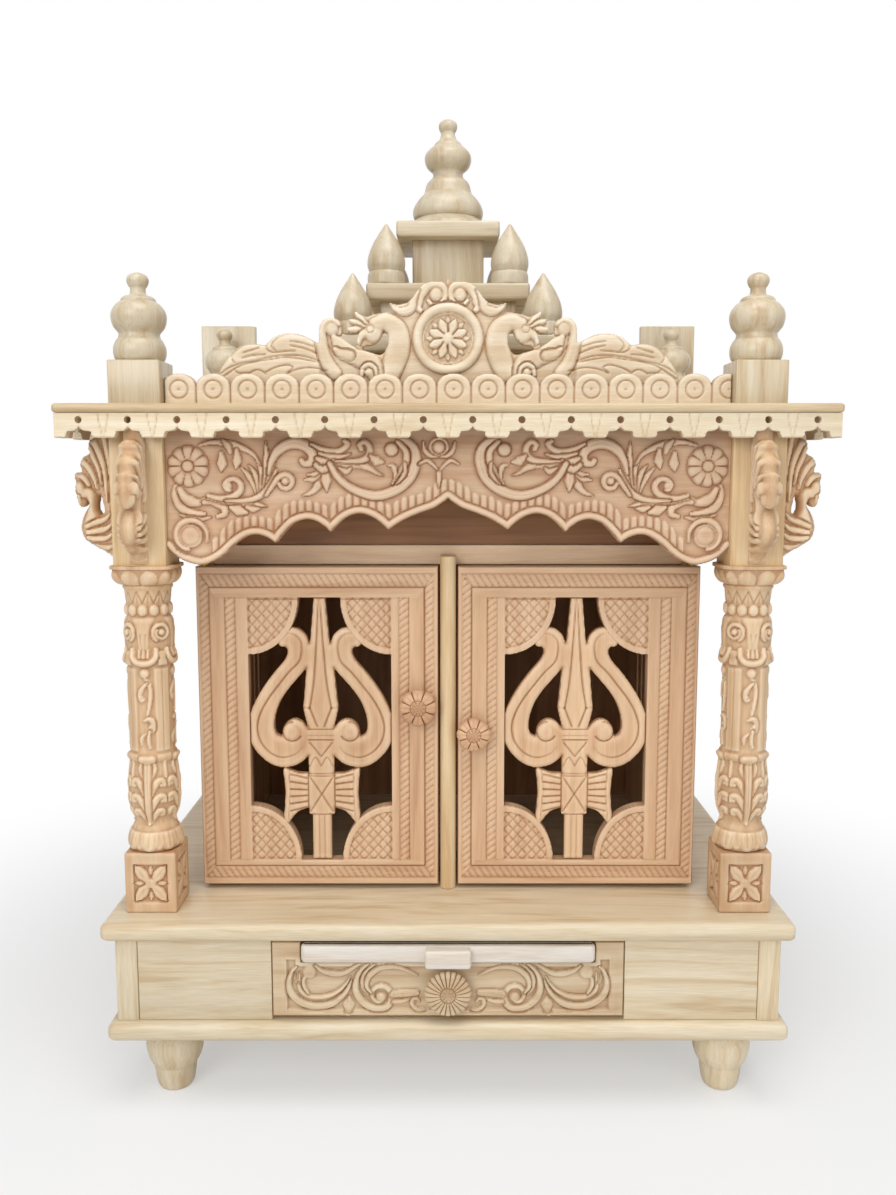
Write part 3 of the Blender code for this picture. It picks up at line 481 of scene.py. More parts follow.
class Relief:
    """A carved face as a height field: u runs across, w up, and h stands out of the ground.

    Carving that lies `tint` below or above its surroundings gets the full painted shade or painted
    highlight. A face whose rim is rounded later has these worked out before and kept in `kept`.
    """

    VEIN_WIDTH = 0.22  # half width of a vein, as a share of the strand's
    RIB_DEPTH = 0.24  # depth of a rib, as a share of the strand's height
    RIB_LEAN = 0.25  # how many ribs' spacing a rib moves on its way from the middle to the edge
    PART_DEPTH = 0.75  # depth of the parting cut beside a strand
    PART_LEFT = 0.40  # share of the height under and beside a strand that is left
    PART_FLOOR = 0.85  # how far below the ground a parting cut may go

    def __init__(self, u: Point, w: Point, step: float) -> None:
        """Lay the grid.

        Args:
            u: lowest and highest value across.
            w: lowest and highest value up.
            step: distance between grid lines.
        """
        nu = max(2, int(round((u[1] - u[0]) / step)) + 1)
        nw = max(2, int(round((w[1] - w[0]) / step)) + 1)
        self.step = step
        self.u, self.w = np.meshgrid(np.linspace(u[0], u[1], nu), np.linspace(w[0], w[1], nw),
                                     indexing="ij")
        self.h = np.zeros(self.u.shape)
        self.tint = 1.2
        self.kept: Optional[tuple[Array, Array]] = None

    def window(self, pts: Array, reach: float) -> tuple[slice, slice]:
        """Grid window round some points.

        Args:
            pts: points that it holds.
            reach: margin round them.
        Returns:
            Slices across and up.
        """
        out = []
        for axis, line in ((0, self.u[:, 0]), (1, self.w[0])):
            a = int(np.searchsorted(line, pts[:, axis].min() - reach))
            b = int(np.searchsorted(line, pts[:, axis].max() + reach)) + 1
            out.append(slice(max(0, a - 1), min(len(line), b)))
        return out[0], out[1]

    def stroke(self, path: Sequence[Point], width: Width, height: float, base: float = 0.0,
               power: float = 2.0, vein: float = 0.0, ribs: float = 0.0) -> None:
        """Raise a rounded strand: height times (1 - (distance / half width) ** power) ** 0.5.

        Args:
            path: its middle line.
            width: (share of length, half width) pairs, joined by straight lines.
            height: height over the base at the middle.
            base: level that it starts from.
            power: 2 gives a round back, more a flatter one.
            vein: depth of the groove along its middle.
            ribs: number of slanting cuts along it, as on a leaf.
        """
        path, share_w = np.asarray(path, float), np.array(width, float)
        reach = share_w[:, 1].max()
        win = self.window(path, reach)
        u, w = self.u[win], self.w[win]
        if u.size == 0:
            return
        d, t = to_path(u, w, path)
        half = np.interp(t, share_w[:, 0], share_w[:, 1]) + 1e-9
        q = np.clip(d / half, 0, 1)
        rise = height * arc(q, power)
        if vein:
            rise = rise - vein * fade(q, self.VEIN_WIDTH) * (d < half)
        if ribs:
            wave = np.clip(np.cos(2 * math.pi * (ribs * t - self.RIB_LEAN * q)), 0, 1) ** 2
            rise = rise - self.RIB_DEPTH * height * wave * np.clip(q * 2.5, 0, 1)
        self.h[win] = np.where(d < half, np.maximum(self.h[win], base + rise), self.h[win])

    def cut(self, path: Sequence[Point], width: float, depth: float, taper: bool = False,
            floor: Optional[float] = None) -> None:
        """Cut a V groove: depth times (1 - distance / half width).

        Args:
            path: its middle line.
            width: half width.
            depth: depth at the middle.
            taper: fade at both ends.
            floor: level below which it does not cut.
        """
        path = np.asarray(path, float)
        win = self.window(path, width)
        u, w = self.u[win], self.w[win]
        if u.size == 0:
            return
        d, t = to_path(u, w, path)
        ends = np.sqrt(np.clip(np.sin(math.pi * np.clip(t, 0.02, 0.98)), 0, 1)) if taper else 1.0
        low = self.h[win] - depth * ends * fade(d, width)
        if floor is not None:
            low = np.where(self.h[win] > floor, np.maximum(low, floor), self.h[win])
        self.h[win] = low

    def part(self, path: Array, width: Width, base: float, gap: float) -> None:
        """Lower what lies under and right beside a strand, so that it reads as cut free.

        Args:
            path: the strand's middle line.
            width: its half widths, as for a stroke.
            base: level of the ground.
            gap: width of the cut beside it.
        """
        share_w = np.array(width, float)
        win = self.window(path, share_w[:, 1].max() + gap)
        u, w = self.u[win], self.w[win]
        if u.size == 0:
            return
        d, t = to_path(u, w, path)
        half = np.interp(t, share_w[:, 0], share_w[:, 1])
        over = np.maximum(self.h[win] - base, 0)
        line = self.PART_DEPTH * fade(np.abs(d - half - 0.2), gap + 0.4)
        low = np.maximum(np.minimum(self.h[win], base) + self.PART_LEFT * over - line,
                         base - self.PART_FLOOR)
        self.h[win] = np.where(d < half + gap + 0.6, np.minimum(self.h[win], low), self.h[win])

    def right_half(self) -> "Relief":
        """The +u half as a face of its own, on the same grid lines.

        Returns:
            A height field that shares its heights with this one.
        """
        n = self.h.shape[0] // 2
        half = Relief((0.0, 1.0), (0.0, 1.0), 1.0)
        half.step, half.u, half.w, half.h = self.step, self.u[n:], self.w[n:], self.h[n:]
        return half

    def mirror(self, half: Optional["Relief"] = None) -> None:
        """Copy the +u half of the field, or the half that is given, on to the other half.

        Args:
            half: the carved +u half, where it is a face of its own.
        """
        n = self.h.shape[0] // 2
        if half is not None:
            self.h[n:] = half.h
        self.h[:n] = self.h[::-1][:n]

    def roll(self, away: Array, r: float) -> None:
        """Round the face over at its outline: h falls by r - (r^2 - (r + away)^2) ^ 0.5.

        Args:
            away: distance from the outline, negative inside.
            r: radius of the rounding.
        """
        q = np.clip(1 + away / r, 0, 1)
        self.h = self.h - r * (1 - arc(q))

    def dome(self, cu: float, cw: float, r: float, height: float, base: float = 0.0,
             power: float = 2.0) -> None:
        """Raise a round boss: height times (1 - (distance / r) ** power) ** 0.5.

        Args:
            cu: centre across.
            cw: centre up.
            r: its radius.
            height: height over the base at the middle.
            base: level that it starts from.
            power: 2 gives a ball, more a flatter boss.
        """
        win = self.window(np.array([[cu, cw]]), r)
        d = np.hypot(self.u[win] - cu, self.w[win] - cw) / r
        rise = base + height * arc(d, power)
        self.h[win] = np.where(d < 1, np.maximum(self.h[win], rise), self.h[win])

    def ring(self, cu: float, cw: float, r: float, half: float, height: float,
             base: float = 0.0) -> None:
        """Raise a round moulding along a circle.

        Args:
            cu: centre across.
            cw: centre up.
            r: radius of its middle line.
            half: its half width.
            height: height over the base at the middle line.
            base: level that it starts from.
        """
        win = self.window(np.array([[cu, cw]]), r + half)
        d = np.abs(np.hypot(self.u[win] - cu, self.w[win] - cw) - r) / half
        rise = base + height * arc(d)
        self.h[win] = np.where(d < 1, np.maximum(self.h[win], rise), self.h[win])

    def flower(self, cu: float, cw: float, r: float, petals: int, height: float, boss: float,
               turn: float) -> None:
        """Raise a rosette: its edge and height follow |cos(petals x angle / 2)|.

        Args:
            cu: centre across.
            cw: centre up.
            r: outer radius.
            petals: how many.
            height: height of the petals.
            boss: radius of the middle, as a share of r.
            turn: angle of the first petal, in degrees.
        """
        win = self.window(np.array([[cu, cw]]), r)
        du, dw = self.u[win] - cu, self.w[win] - cw
        d = np.hypot(du, dw) / r
        a = np.arctan2(dw, du) - math.radians(turn)
        lobe = np.abs(np.cos(petals * a / 2))
        edge = 0.86 + 0.14 * lobe ** 0.5
        q = np.clip(d / edge, 0, 1)
        rise = height * (0.68 + 0.32 * np.sin(math.pi * q ** 1.3))
        rise *= arc(q, 6)
        rise -= 0.60 * height * fade(lobe, 0.30) * np.clip(q * 1.6, 0, 1)
        self.h[win] = np.where(d < edge, np.maximum(self.h[win], rise), self.h[win])
        mid = d / boss
        low = fade(np.abs(mid - 1.12), 0.22) * 0.45 * height
        self.h[win] = self.h[win] - low * (d < edge)
        knob = height * (0.75 + 0.45 * arc(mid))
        self.h[win] = np.where(mid < 1, knob, self.h[win])

    def shades(self, cells: int = 3) -> tuple[Array, Array]:
        """How deep or how high each point lies against its surroundings.

        Args:
            cells: half width of the window that it is compared with.
        Returns:
            Amounts of painted shade in hollows and painted highlight on crests, from 0 to 1.
        """
        if self.kept is not None:
            return self.kept
        gap = blurred(self.h, cells) - self.h
        low = np.clip(0.66 * gap / self.tint - 0.03, 0, 0.8)
        high = np.clip(-gap / self.tint, 0, 1)
        return low, high


def filled(points: Array, edges: Array) -> Array:
    """Fill closed outlines by triangles, leaving their holes open.

    Args:
        points: points in a plane of constant Y.
        edges: pairs of point numbers.
    Returns:
        Triangles that face +Y.
    """
    mesh = bpy.data.meshes.new("fill")
    mesh.from_pydata(points.tolist(), edges.tolist(), [])
    work = bmesh.new()
    work.from_mesh(mesh)
    bmesh.ops.triangle_fill(work, use_beauty=True, use_dissolve=False, edges=work.edges[:],
                            normal=(0.0, 1.0, 0.0))
    tris = np.array([[v.index for v in f.verts] for f in work.faces], int).reshape(-1, 3)
    work.free()
    bpy.data.meshes.remove(mesh)
    a, b, c = points[tris[:, 0]], points[tris[:, 1]], points[tris[:, 2]]
    down = np.cross(b - a, c - a)[:, 1] < 0
    tris[down] = tris[down][:, ::-1]
    return tris


def kept_cells(inside: Array) -> Array:
    """Grid cells whose four corners are inside, without cells that touch only by a corner.

    Args:
        inside: which grid points are inside.
    Returns:
        Which cells are kept.
    """
    cell = inside[:-1, :-1] & inside[1:, :-1] & inside[:-1, 1:] & inside[1:, 1:]
    for _ in range(12):
        a, b, c, d = cell[:-1, :-1], cell[:-1, 1:], cell[1:, :-1], cell[1:, 1:]
        first = a & d & ~b & ~c
        second = b & c & ~a & ~d
        if not (first.any() or second.any()):
            break
        cell[1:, 1:] &= ~first
        cell[1:, :-1] &= ~second
    return cell


def carved(face: Relief, loops: Sequence[Array], depth: float, both: bool = False) -> Shell:
    """Cut a carved face to its outline and close it with walls and a back.

    The front lies at y = -h and the back at y = depth, or, with both sides carved, at
    y = depth + h. Points on the border are moved on to the outline.

    Args:
        face: the height field, in millimetres.
        loops: outer outlines and holes, in millimetres.
        depth: distance from the ground of the front to the back, in millimetres.
        both: carve the back like the front.
    Returns:
        A closed shell in metres, with u along X, w along Z and its front towards -Y.
    """
    away, nu, nw = to_outline(face.u, face.w, loops)
    cell = kept_cells(away < 0.5 * face.step)
    padded = np.pad(cell, 1)
    round_it = [padded[:-1, :-1], padded[1:, :-1], padded[:-1, 1:], padded[1:, 1:]]
    used = round_it[0] | round_it[1] | round_it[2] | round_it[3]
    inner = round_it[0] & round_it[1] & round_it[2] & round_it[3]
    rim = used & ~inner
    short = 0.04  # share of its way that a rim point stays short, so that no two fall together
    u = np.where(rim, nu + short * (face.u - nu), face.u)
    w = np.where(rim, nw + short * (face.w - nw), face.w)
    order = np.full(used.shape, -1)
    order[used] = np.arange(used.sum())
    front = np.stack([u[used], -face.h[used], w[used]], 1)
    corners = [order[:-1, :-1], order[1:, :-1], order[1:, 1:], order[:-1, 1:]]
    quads = np.stack([c[cell] for c in corners], 1)
    sides = []
    for near, (a, b) in ((padded[1:-1, :-2], (0, 1)), (padded[2:, 1:-1], (1, 2)),
                         (padded[1:-1, 2:], (2, 3)), (padded[:-2, 1:-1], (3, 0))):
        open_side = cell & ~near
        sides.append(np.stack([corners[a][open_side], corners[b][open_side]], 1))
    sides = np.vstack(sides)
    # painted shade and painted highlight, from how deep or high each point lies
    low, high = face.shades()
    low, high = low[used], high[used]
    count = len(front)
    if both:
        back = front * np.array([1.0, -1.0, 1.0]) + np.array([0.0, depth, 0.0])
        walls = np.stack([sides[:, 1], sides[:, 0], sides[:, 0] + count, sides[:, 1] + count], 1)
        return Shell(np.vstack([front, back]) * MM,
                     np.vstack([quads, quads[:, ::-1] + count, walls]),
                     hollow=np.tile(low, 2), crest=np.tile(high, 2))
    edge = np.unique(sides)
    slot = np.full(count, -1)
    slot[edge] = np.arange(len(edge))
    back = front[edge].copy()
    back[:, 1] = depth
    far = slot[sides] + count
    walls = np.stack([sides[:, 1], sides[:, 0], far[:, 0], far[:, 1]], 1)
    tris = filled(back, slot[sides]) + count
    points = np.vstack([front, back]) * MM
    zero = np.zeros(len(edge))
    return Shell(points, np.vstack([quads, walls]), tris, hollow=np.concatenate([low, zero]),
                 crest=np.concatenate([high, zero]))


def stacked(points: Array, hollow: Optional[Array] = None,
            crest: Optional[Array] = None) -> Shell:
    """Closed surface through a stack of rings, with a flat cap at both ends.

    Args:
        points: the points, as rings by steps round by three.
        hollow: how much painted shade each point gets, for how deep it lies.
        crest: how much painted highlight each point gets, for how high it lies.
    Returns:
        The shell, in the units given.
    """
    rows, count = points.shape[:2]
    start = np.arange(rows - 1)[:, None] * count
    k = np.arange(count)[None]
    n = (k + 1) % count
    quads = np.stack([start + k, start + n, start + count + n, start + count + k], 2)
    top = (rows - 1) * count
    return Shell(points.reshape(-1, 3), quads.reshape(-1, 4),
                 rings=[list(range(count - 1, -1, -1)), list(range(top, top + count))],
                 hollow=None if hollow is None else hollow.ravel(),
                 crest=None if crest is None else crest.ravel())


def lathe(cx: float, cy: float, z: Array, r: Array, hollow: Optional[Array] = None,
          crest: Optional[Array] = None) -> Shell:
    """Closed turned work: at height z[i] and angle 2 pi k / n the radius is r[i, k].

    Args:
        cx: axis in X.
        cy: axis in Y.
        z: height of each ring.
        r: radii, one row for each ring.
        hollow: how much painted shade each point gets, for how deep it lies.
        crest: how much painted highlight each point gets, for how high it lies.
    Returns:
        The shell, in the units given.
    """
    count = r.shape[1]
    a = 2 * math.pi * np.arange(count) / count
    points = np.stack([cx + r * np.cos(a), cy + r * np.sin(a), np.repeat(z[:, None], count, 1)], 2)
    return stacked(points, hollow, crest)


def turned(cx: float, cy: float, z0: float, z1: float, radius: float,
           profile: Sequence[Point], count: int = 72, steps: int = 6) -> Shell:
    """Plain turned work: the profile is a smooth curve, with a crisp corner at a repeated point.

    Args:
        cx: axis in X.
        cy: axis in Y.
        z0: its foot.
        z1: its top.
        radius: radius that the profile's shares are of.
        profile: (share of height, share of radius) points from the foot up.
        count: points round it.
        steps: pieces between each two profile points.
    Returns:
        The shell, in the units given.
    """
    line = smooth_path(profile, steps)
    keep = np.concatenate([[True], np.hypot(*np.diff(line, axis=0).T) > 1e-5])
    line = line[keep]
    z = z0 + (z1 - z0) * np.clip(line[:, 0], 0, 1)
    r = np.repeat((radius * np.clip(line[:, 1], 0.02, 1))[:, None], count, 1)
    return lathe(cx, cy, z, r)


def board(lo: Sequence[float], hi: Sequence[float], nose: Sequence[Point],
          corner: float = 0.003) -> Shell:
    """Flat board whose edge follows a nose profile, with rounded corners in plan.

    Args:
        lo: lowest corner, in metres.
        hi: highest corner.
        nose: (inset in metres, share of the thickness) points from the bottom up.
        corner: radius of its corners in plan.
    Returns:
        The shell.
    """
    a = np.radians(np.linspace(0, 90, 6))
    rings = []
    for inset, share in nose:
        z = lo[2] + (hi[2] - lo[2]) * share
        r = max(corner - 0.4 * inset, 0.0004)
        loop = []
        for q, (x, y) in enumerate(((hi[0], hi[1]), (lo[0], hi[1]), (lo[0], lo[1]),
                                    (hi[0], lo[1]))):
            sx, sy = (1, -1, -1, 1)[q], (1, 1, -1, -1)[q]
            px = x - sx * (inset + r) + r * np.cos(a + q * math.pi / 2)
            py = y - sy * (inset + r) + r * np.sin(a + q * math.pi / 2)
            loop.append(np.stack([px, py, np.full(6, z)], 1))
        rings.append(np.vstack(loop))
    return stacked(np.array(rings))


def eased(thickness: float, r: float = 0.0008) -> list[Point]:
    """Nose of a sawn board whose edges are eased by a quarter round of radius r."""
    t = r / thickness
    return [(r, 0.0), (0.3 * r, 0.3 * t), (0.0, t), (0.0, 1 - t), (0.3 * r, 1 - 0.3 * t), (r, 1.0)]


def bullnose(r: float, flat: float = 0.0) -> list[Point]:
    """Full round nose, as a half ellipse with a flat middle.

    Args:
        r: how far it stands out.
        flat: share of the thickness that is flat.
    Returns:
        (inset, share of the thickness) points from the bottom up.
    """
    out = []
    for k in range(0, 13):
        t = math.pi * k / 12
        out.append((r * (1 - math.sin(t)), 0.5 - 0.5 * math.cos(t) * (1 - flat)
                    + (0.0 if k == 6 else math.copysign(0.5 * flat, k - 6))))
    out[0] = (r, 0.0)
    out[-1] = (r, 1.0)
    return out


def wrapped(face: Relief, ring: Callable[[Array], tuple[Array, Array]], around: float) -> Shell:
    """Wrap a carved face round a closed upright form.

    Each point stands at the ring's point for its share of the way round, moved out along the
    ring's normal by h. The last column of the grid is the first one again and is left out.

    Args:
        face: the height field in millimetres; u runs round the form, w is the height.
        ring: gives, from shares of the way round, points and outward normals in millimetres.
        around: length of the way round, in millimetres.
    Returns:
        The shell in metres.
    """
    share = face.u[:-1, 0] / around
    points, normals = ring(share)
    out = points[:, None, :] + normals[:, None, :] * face.h[:-1, :, None]
    z = np.repeat(face.w[:1], len(share), 0)
    full = np.concatenate([out, z[:, :, None]], 2).transpose(1, 0, 2)
    # painted shade and painted highlight, from how deep or high each point lies
    low, high = face.shades()
    return stacked(full * MM, low[:-1].T, high[:-1].T)


def square_ring(cx: float, cy: float, half: float, corner: float
                ) -> Callable[[Array], tuple[Array, Array]]:
    """Way round a square with rounded corners, starting in the middle of its +X side.

    Args:
        cx: centre in X, in millimetres.
        cy: centre in Y.
        half: half the side.
        corner: radius of the corners.
    Returns:
        A function from shares of the way round to points and normals.
    """
    def ring(share: Array) -> tuple[Array, Array]:
        """Points and outward normals at the shares of the way round.

        Args:
            share: shares of the way round.
        Returns:
            Points and outward normals.
        """
        turn = np.floor(share * 4 + 0.5) % 4
        t = (share * 4 + 0.5) % 1.0 - 0.5
        along = t * 2 * half
        flat = half - corner
        over = np.clip(np.abs(along) - flat, 0, corner) / max(corner, 1e-9) * (math.pi / 4)
        side = np.sign(along)
        px = flat + corner * np.cos(over)
        py = side * (np.minimum(np.abs(along), flat) + corner * np.sin(over))
        nx, ny = np.cos(over), side * np.sin(over)
        c, s = np.cos(turn * math.pi / 2), np.sin(turn * math.pi / 2)
        points = np.stack([cx + px * c - py * s, cy + px * s + py * c], 1)
        return points, np.stack([nx * c - ny * s, nx * s + ny * c], 1)

    return ring


def round_ring(cx: float, cy: float, radius: float) -> Callable[[Array], tuple[Array, Array]]:
    """Way round a circle, starting at +X.

    Args:
        cx: centre in X, in millimetres.
        cy: centre in Y.
        radius: its radius.
    Returns:
        A function from shares of the way round to points and normals.
    """
    def ring(share: Array) -> tuple[Array, Array]:
        """Points and outward normals at the shares of the way round.

        Args:
            share: shares of the way round.
        Returns:
            Points and outward normals.
        """
        a = 2 * math.pi * share
        n = np.stack([np.cos(a), np.sin(a)], 1)
        return np.array([cx, cy]) + radius * n, n

    return ring


def turned_round(shell: Shell, degrees: float) -> Shell:
    """Turn a surface about the upright axis through the origin.

    Args:
        shell: the surface.
        degrees: angle, positive from +X to +Y.
    Returns:
        The turned surface.
    """
    c, s = math.cos(math.radians(degrees)), math.sin(math.radians(degrees))
    spin = np.array([[c, -s, 0.0], [s, c, 0.0], [0.0, 0.0, 1.0]])
    return Shell(shell.points @ spin.T, shell.quads, shell.tris, shell.rings, shell.hollow,
                 shell.crest)


def dress(node_name: str, mat: bpy.types.Material) -> None:
    """Give a CAD node that stays as it is its finish.

    Args:
        node_name: the CAD node.
        mat: its finish.
    """
    mesh = bpy.data.objects[node_name].data
    mesh.materials.clear()
    mesh.materials.append(mat)
    log.info("%-28s keeps its CAD shape", node_name)


def both_ways(half: Sequence[Point]) -> Array:
    """Closed outline from its +u half.

    Args:
        half: points of the half, from the middle line back to it.
    Returns:
        The whole outline.
    """
    p = np.asarray(half, float)
    q = p[::-1] * np.array([-1.0, 1.0])
    return np.vstack([p, q[np.abs(q[:, 0]) > 1e-6]])


@dataclass(frozen=True)
class Strand:
    """One carved stem, leaf or petal: its middle line, half widths and height, in millimetres."""

    points: tuple[Point, ...]
    width: tuple[Point, ...]
    height: float
    vein: float = 0.0
    ribs: float = 0.0

    def moved(self, up: float = 0.0, wider: float = 1.0, stretch: float = 0.0) -> "Strand":
        """The same strand raised, widened, and stretched more the farther out it lies.

        Args:
            up: how far it is raised, in millimetres.
            wider: factor on its widths.
            stretch: share added to a point's distance out, per millimetre of that distance.
        Returns:
            The new strand.
        """
        return Strand(tuple((a * (1 + stretch * a), b + up) for a, b in self.points),
                      tuple((t, wider * w) for t, w in self.width), self.height, self.vein,
                      self.ribs)

    def draw(self, face: Relief, base: float = 0.0, gap: float = 0.9) -> None:
        """Part the strand from what lies under it, then raise it.

        Args:
            face: the height field.
            base: level that it starts from.
            gap: width of the parting cut beside it.
        """
        path = smooth_path(self.points, 6)
        face.part(path, self.width, base, gap)
        face.stroke(path, self.width, self.height, base, power=2.4, vein=self.vein, ribs=self.ribs)


def flower_knob(cx: float, y: float, cz: float, radius: float, reach: float, petals: int,
                boss: float, cupped: float, ribbed: bool) -> Shell:
    """Turned knob along -Y whose face is cut into petals round a grained or ribbed boss.

    It is a stack of rings from the root round the rim to the middle of the flower. The radius of
    the rim and the depth of the cuts follow |cos(petals x angle / 2)|.

    Args:
        cx: centre in X, in millimetres.
        y: plane of the face that it stands on.
        cz: centre in Z.
        radius: outer radius.
        reach: how far it stands out.
        petals: how many petals.
        boss: radius of the boss as a share of the radius.
        cupped: how far the rim lies behind the middle.
        ribbed: cut a rib down the middle of each petal.
    Returns:
        The shell in metres.
    """
    count = 192
    a = 2 * math.pi * np.arange(count) / count
    lobe = np.abs(np.cos(petals * a / 2))
    edge = (0.93 + 0.07 * lobe ** 0.5) if petals > 12 else (0.87 + 0.13 * lobe ** 0.4)
    stem = [(0.42, 0.3), (0.42, 0.22 * reach), (0.50, 0.34 * reach), (0.80, 0.44 * reach),
            (0.97, 0.52 * reach)]
    # low, high: painted shade on the stem and in the cuts, painted highlight on lobes and ridges
    rows_r, rows_o, low, high = [], [], [], []
    for s, out in stem:
        rows_r.append(radius * s * np.where(s > 0.7, edge, 1.0))
        rows_o.append(np.full(count, out))
        low.append(np.full(count, 0.35))
        high.append(np.zeros(count))
    share = np.concatenate([[1.0, 0.995, 0.98], np.linspace(0.95, boss * 1.12, 15),
                            boss * np.array([1.06, 1.0, 0.97]), np.linspace(0.88, 0.04, 9) * boss])
    cut = fade(lobe, 0.40 if petals > 12 else 0.24)
    rib = fade(1 - lobe, 0.10) if ribbed else np.zeros(count)
    grain = 0.5 + 0.5 * np.cos(10 * a)
    for s in share:
        in_boss = s <= boss * 1.001
        if in_boss:
            t = s / boss
            top = reach - 1.0 + 1.0 * math.sqrt(max(0.0, 1 - t * t))
            grains = 0.55 * np.cos(9 * math.pi * t) * grain if not ribbed or petals < 12 else 0 * a
            rows_o.append(top + 1.3 * grains - 0.8)
            rows_r.append(np.full(count, radius * s))
            low.append(np.clip(0.30 - grains, 0, 1) * 0.6)
            high.append(np.clip(grains, 0, 1) * 0.5)
        else:
            q = (s - boss) / (1 - boss)
            top = reach - 1.6 - cupped * q ** 2
            round_over = 2.6 * (1 - math.sqrt(max(0.0, 1 - max(0.0, (s - 0.86) / 0.14) ** 2)))
            deep = 2.2 * cut * min(1.0, 3 * q + 0.2) + 0.35 * rib * (q > 0.12)
            trough = 1.3 * max(0.0, 1 - q / 0.10)
            rows_o.append(top - round_over - deep - trough)
            rows_r.append(radius * s * (1 - (1 - edge) * q ** 0.5))
            low.append(np.clip(0.75 * cut + 0.15 * rib + (0.7 if trough > 0.3 else 0.0), 0, 0.85))
            high.append(0.30 * np.clip(lobe - 0.6, 0, 1) * (1 - rib))
    r = np.array(rows_r)
    points = np.stack([cx + r * np.cos(a), y - np.array(rows_o), cz + r * np.sin(a)], 2)
    return stacked(points * MM, np.array(low), np.array(high))


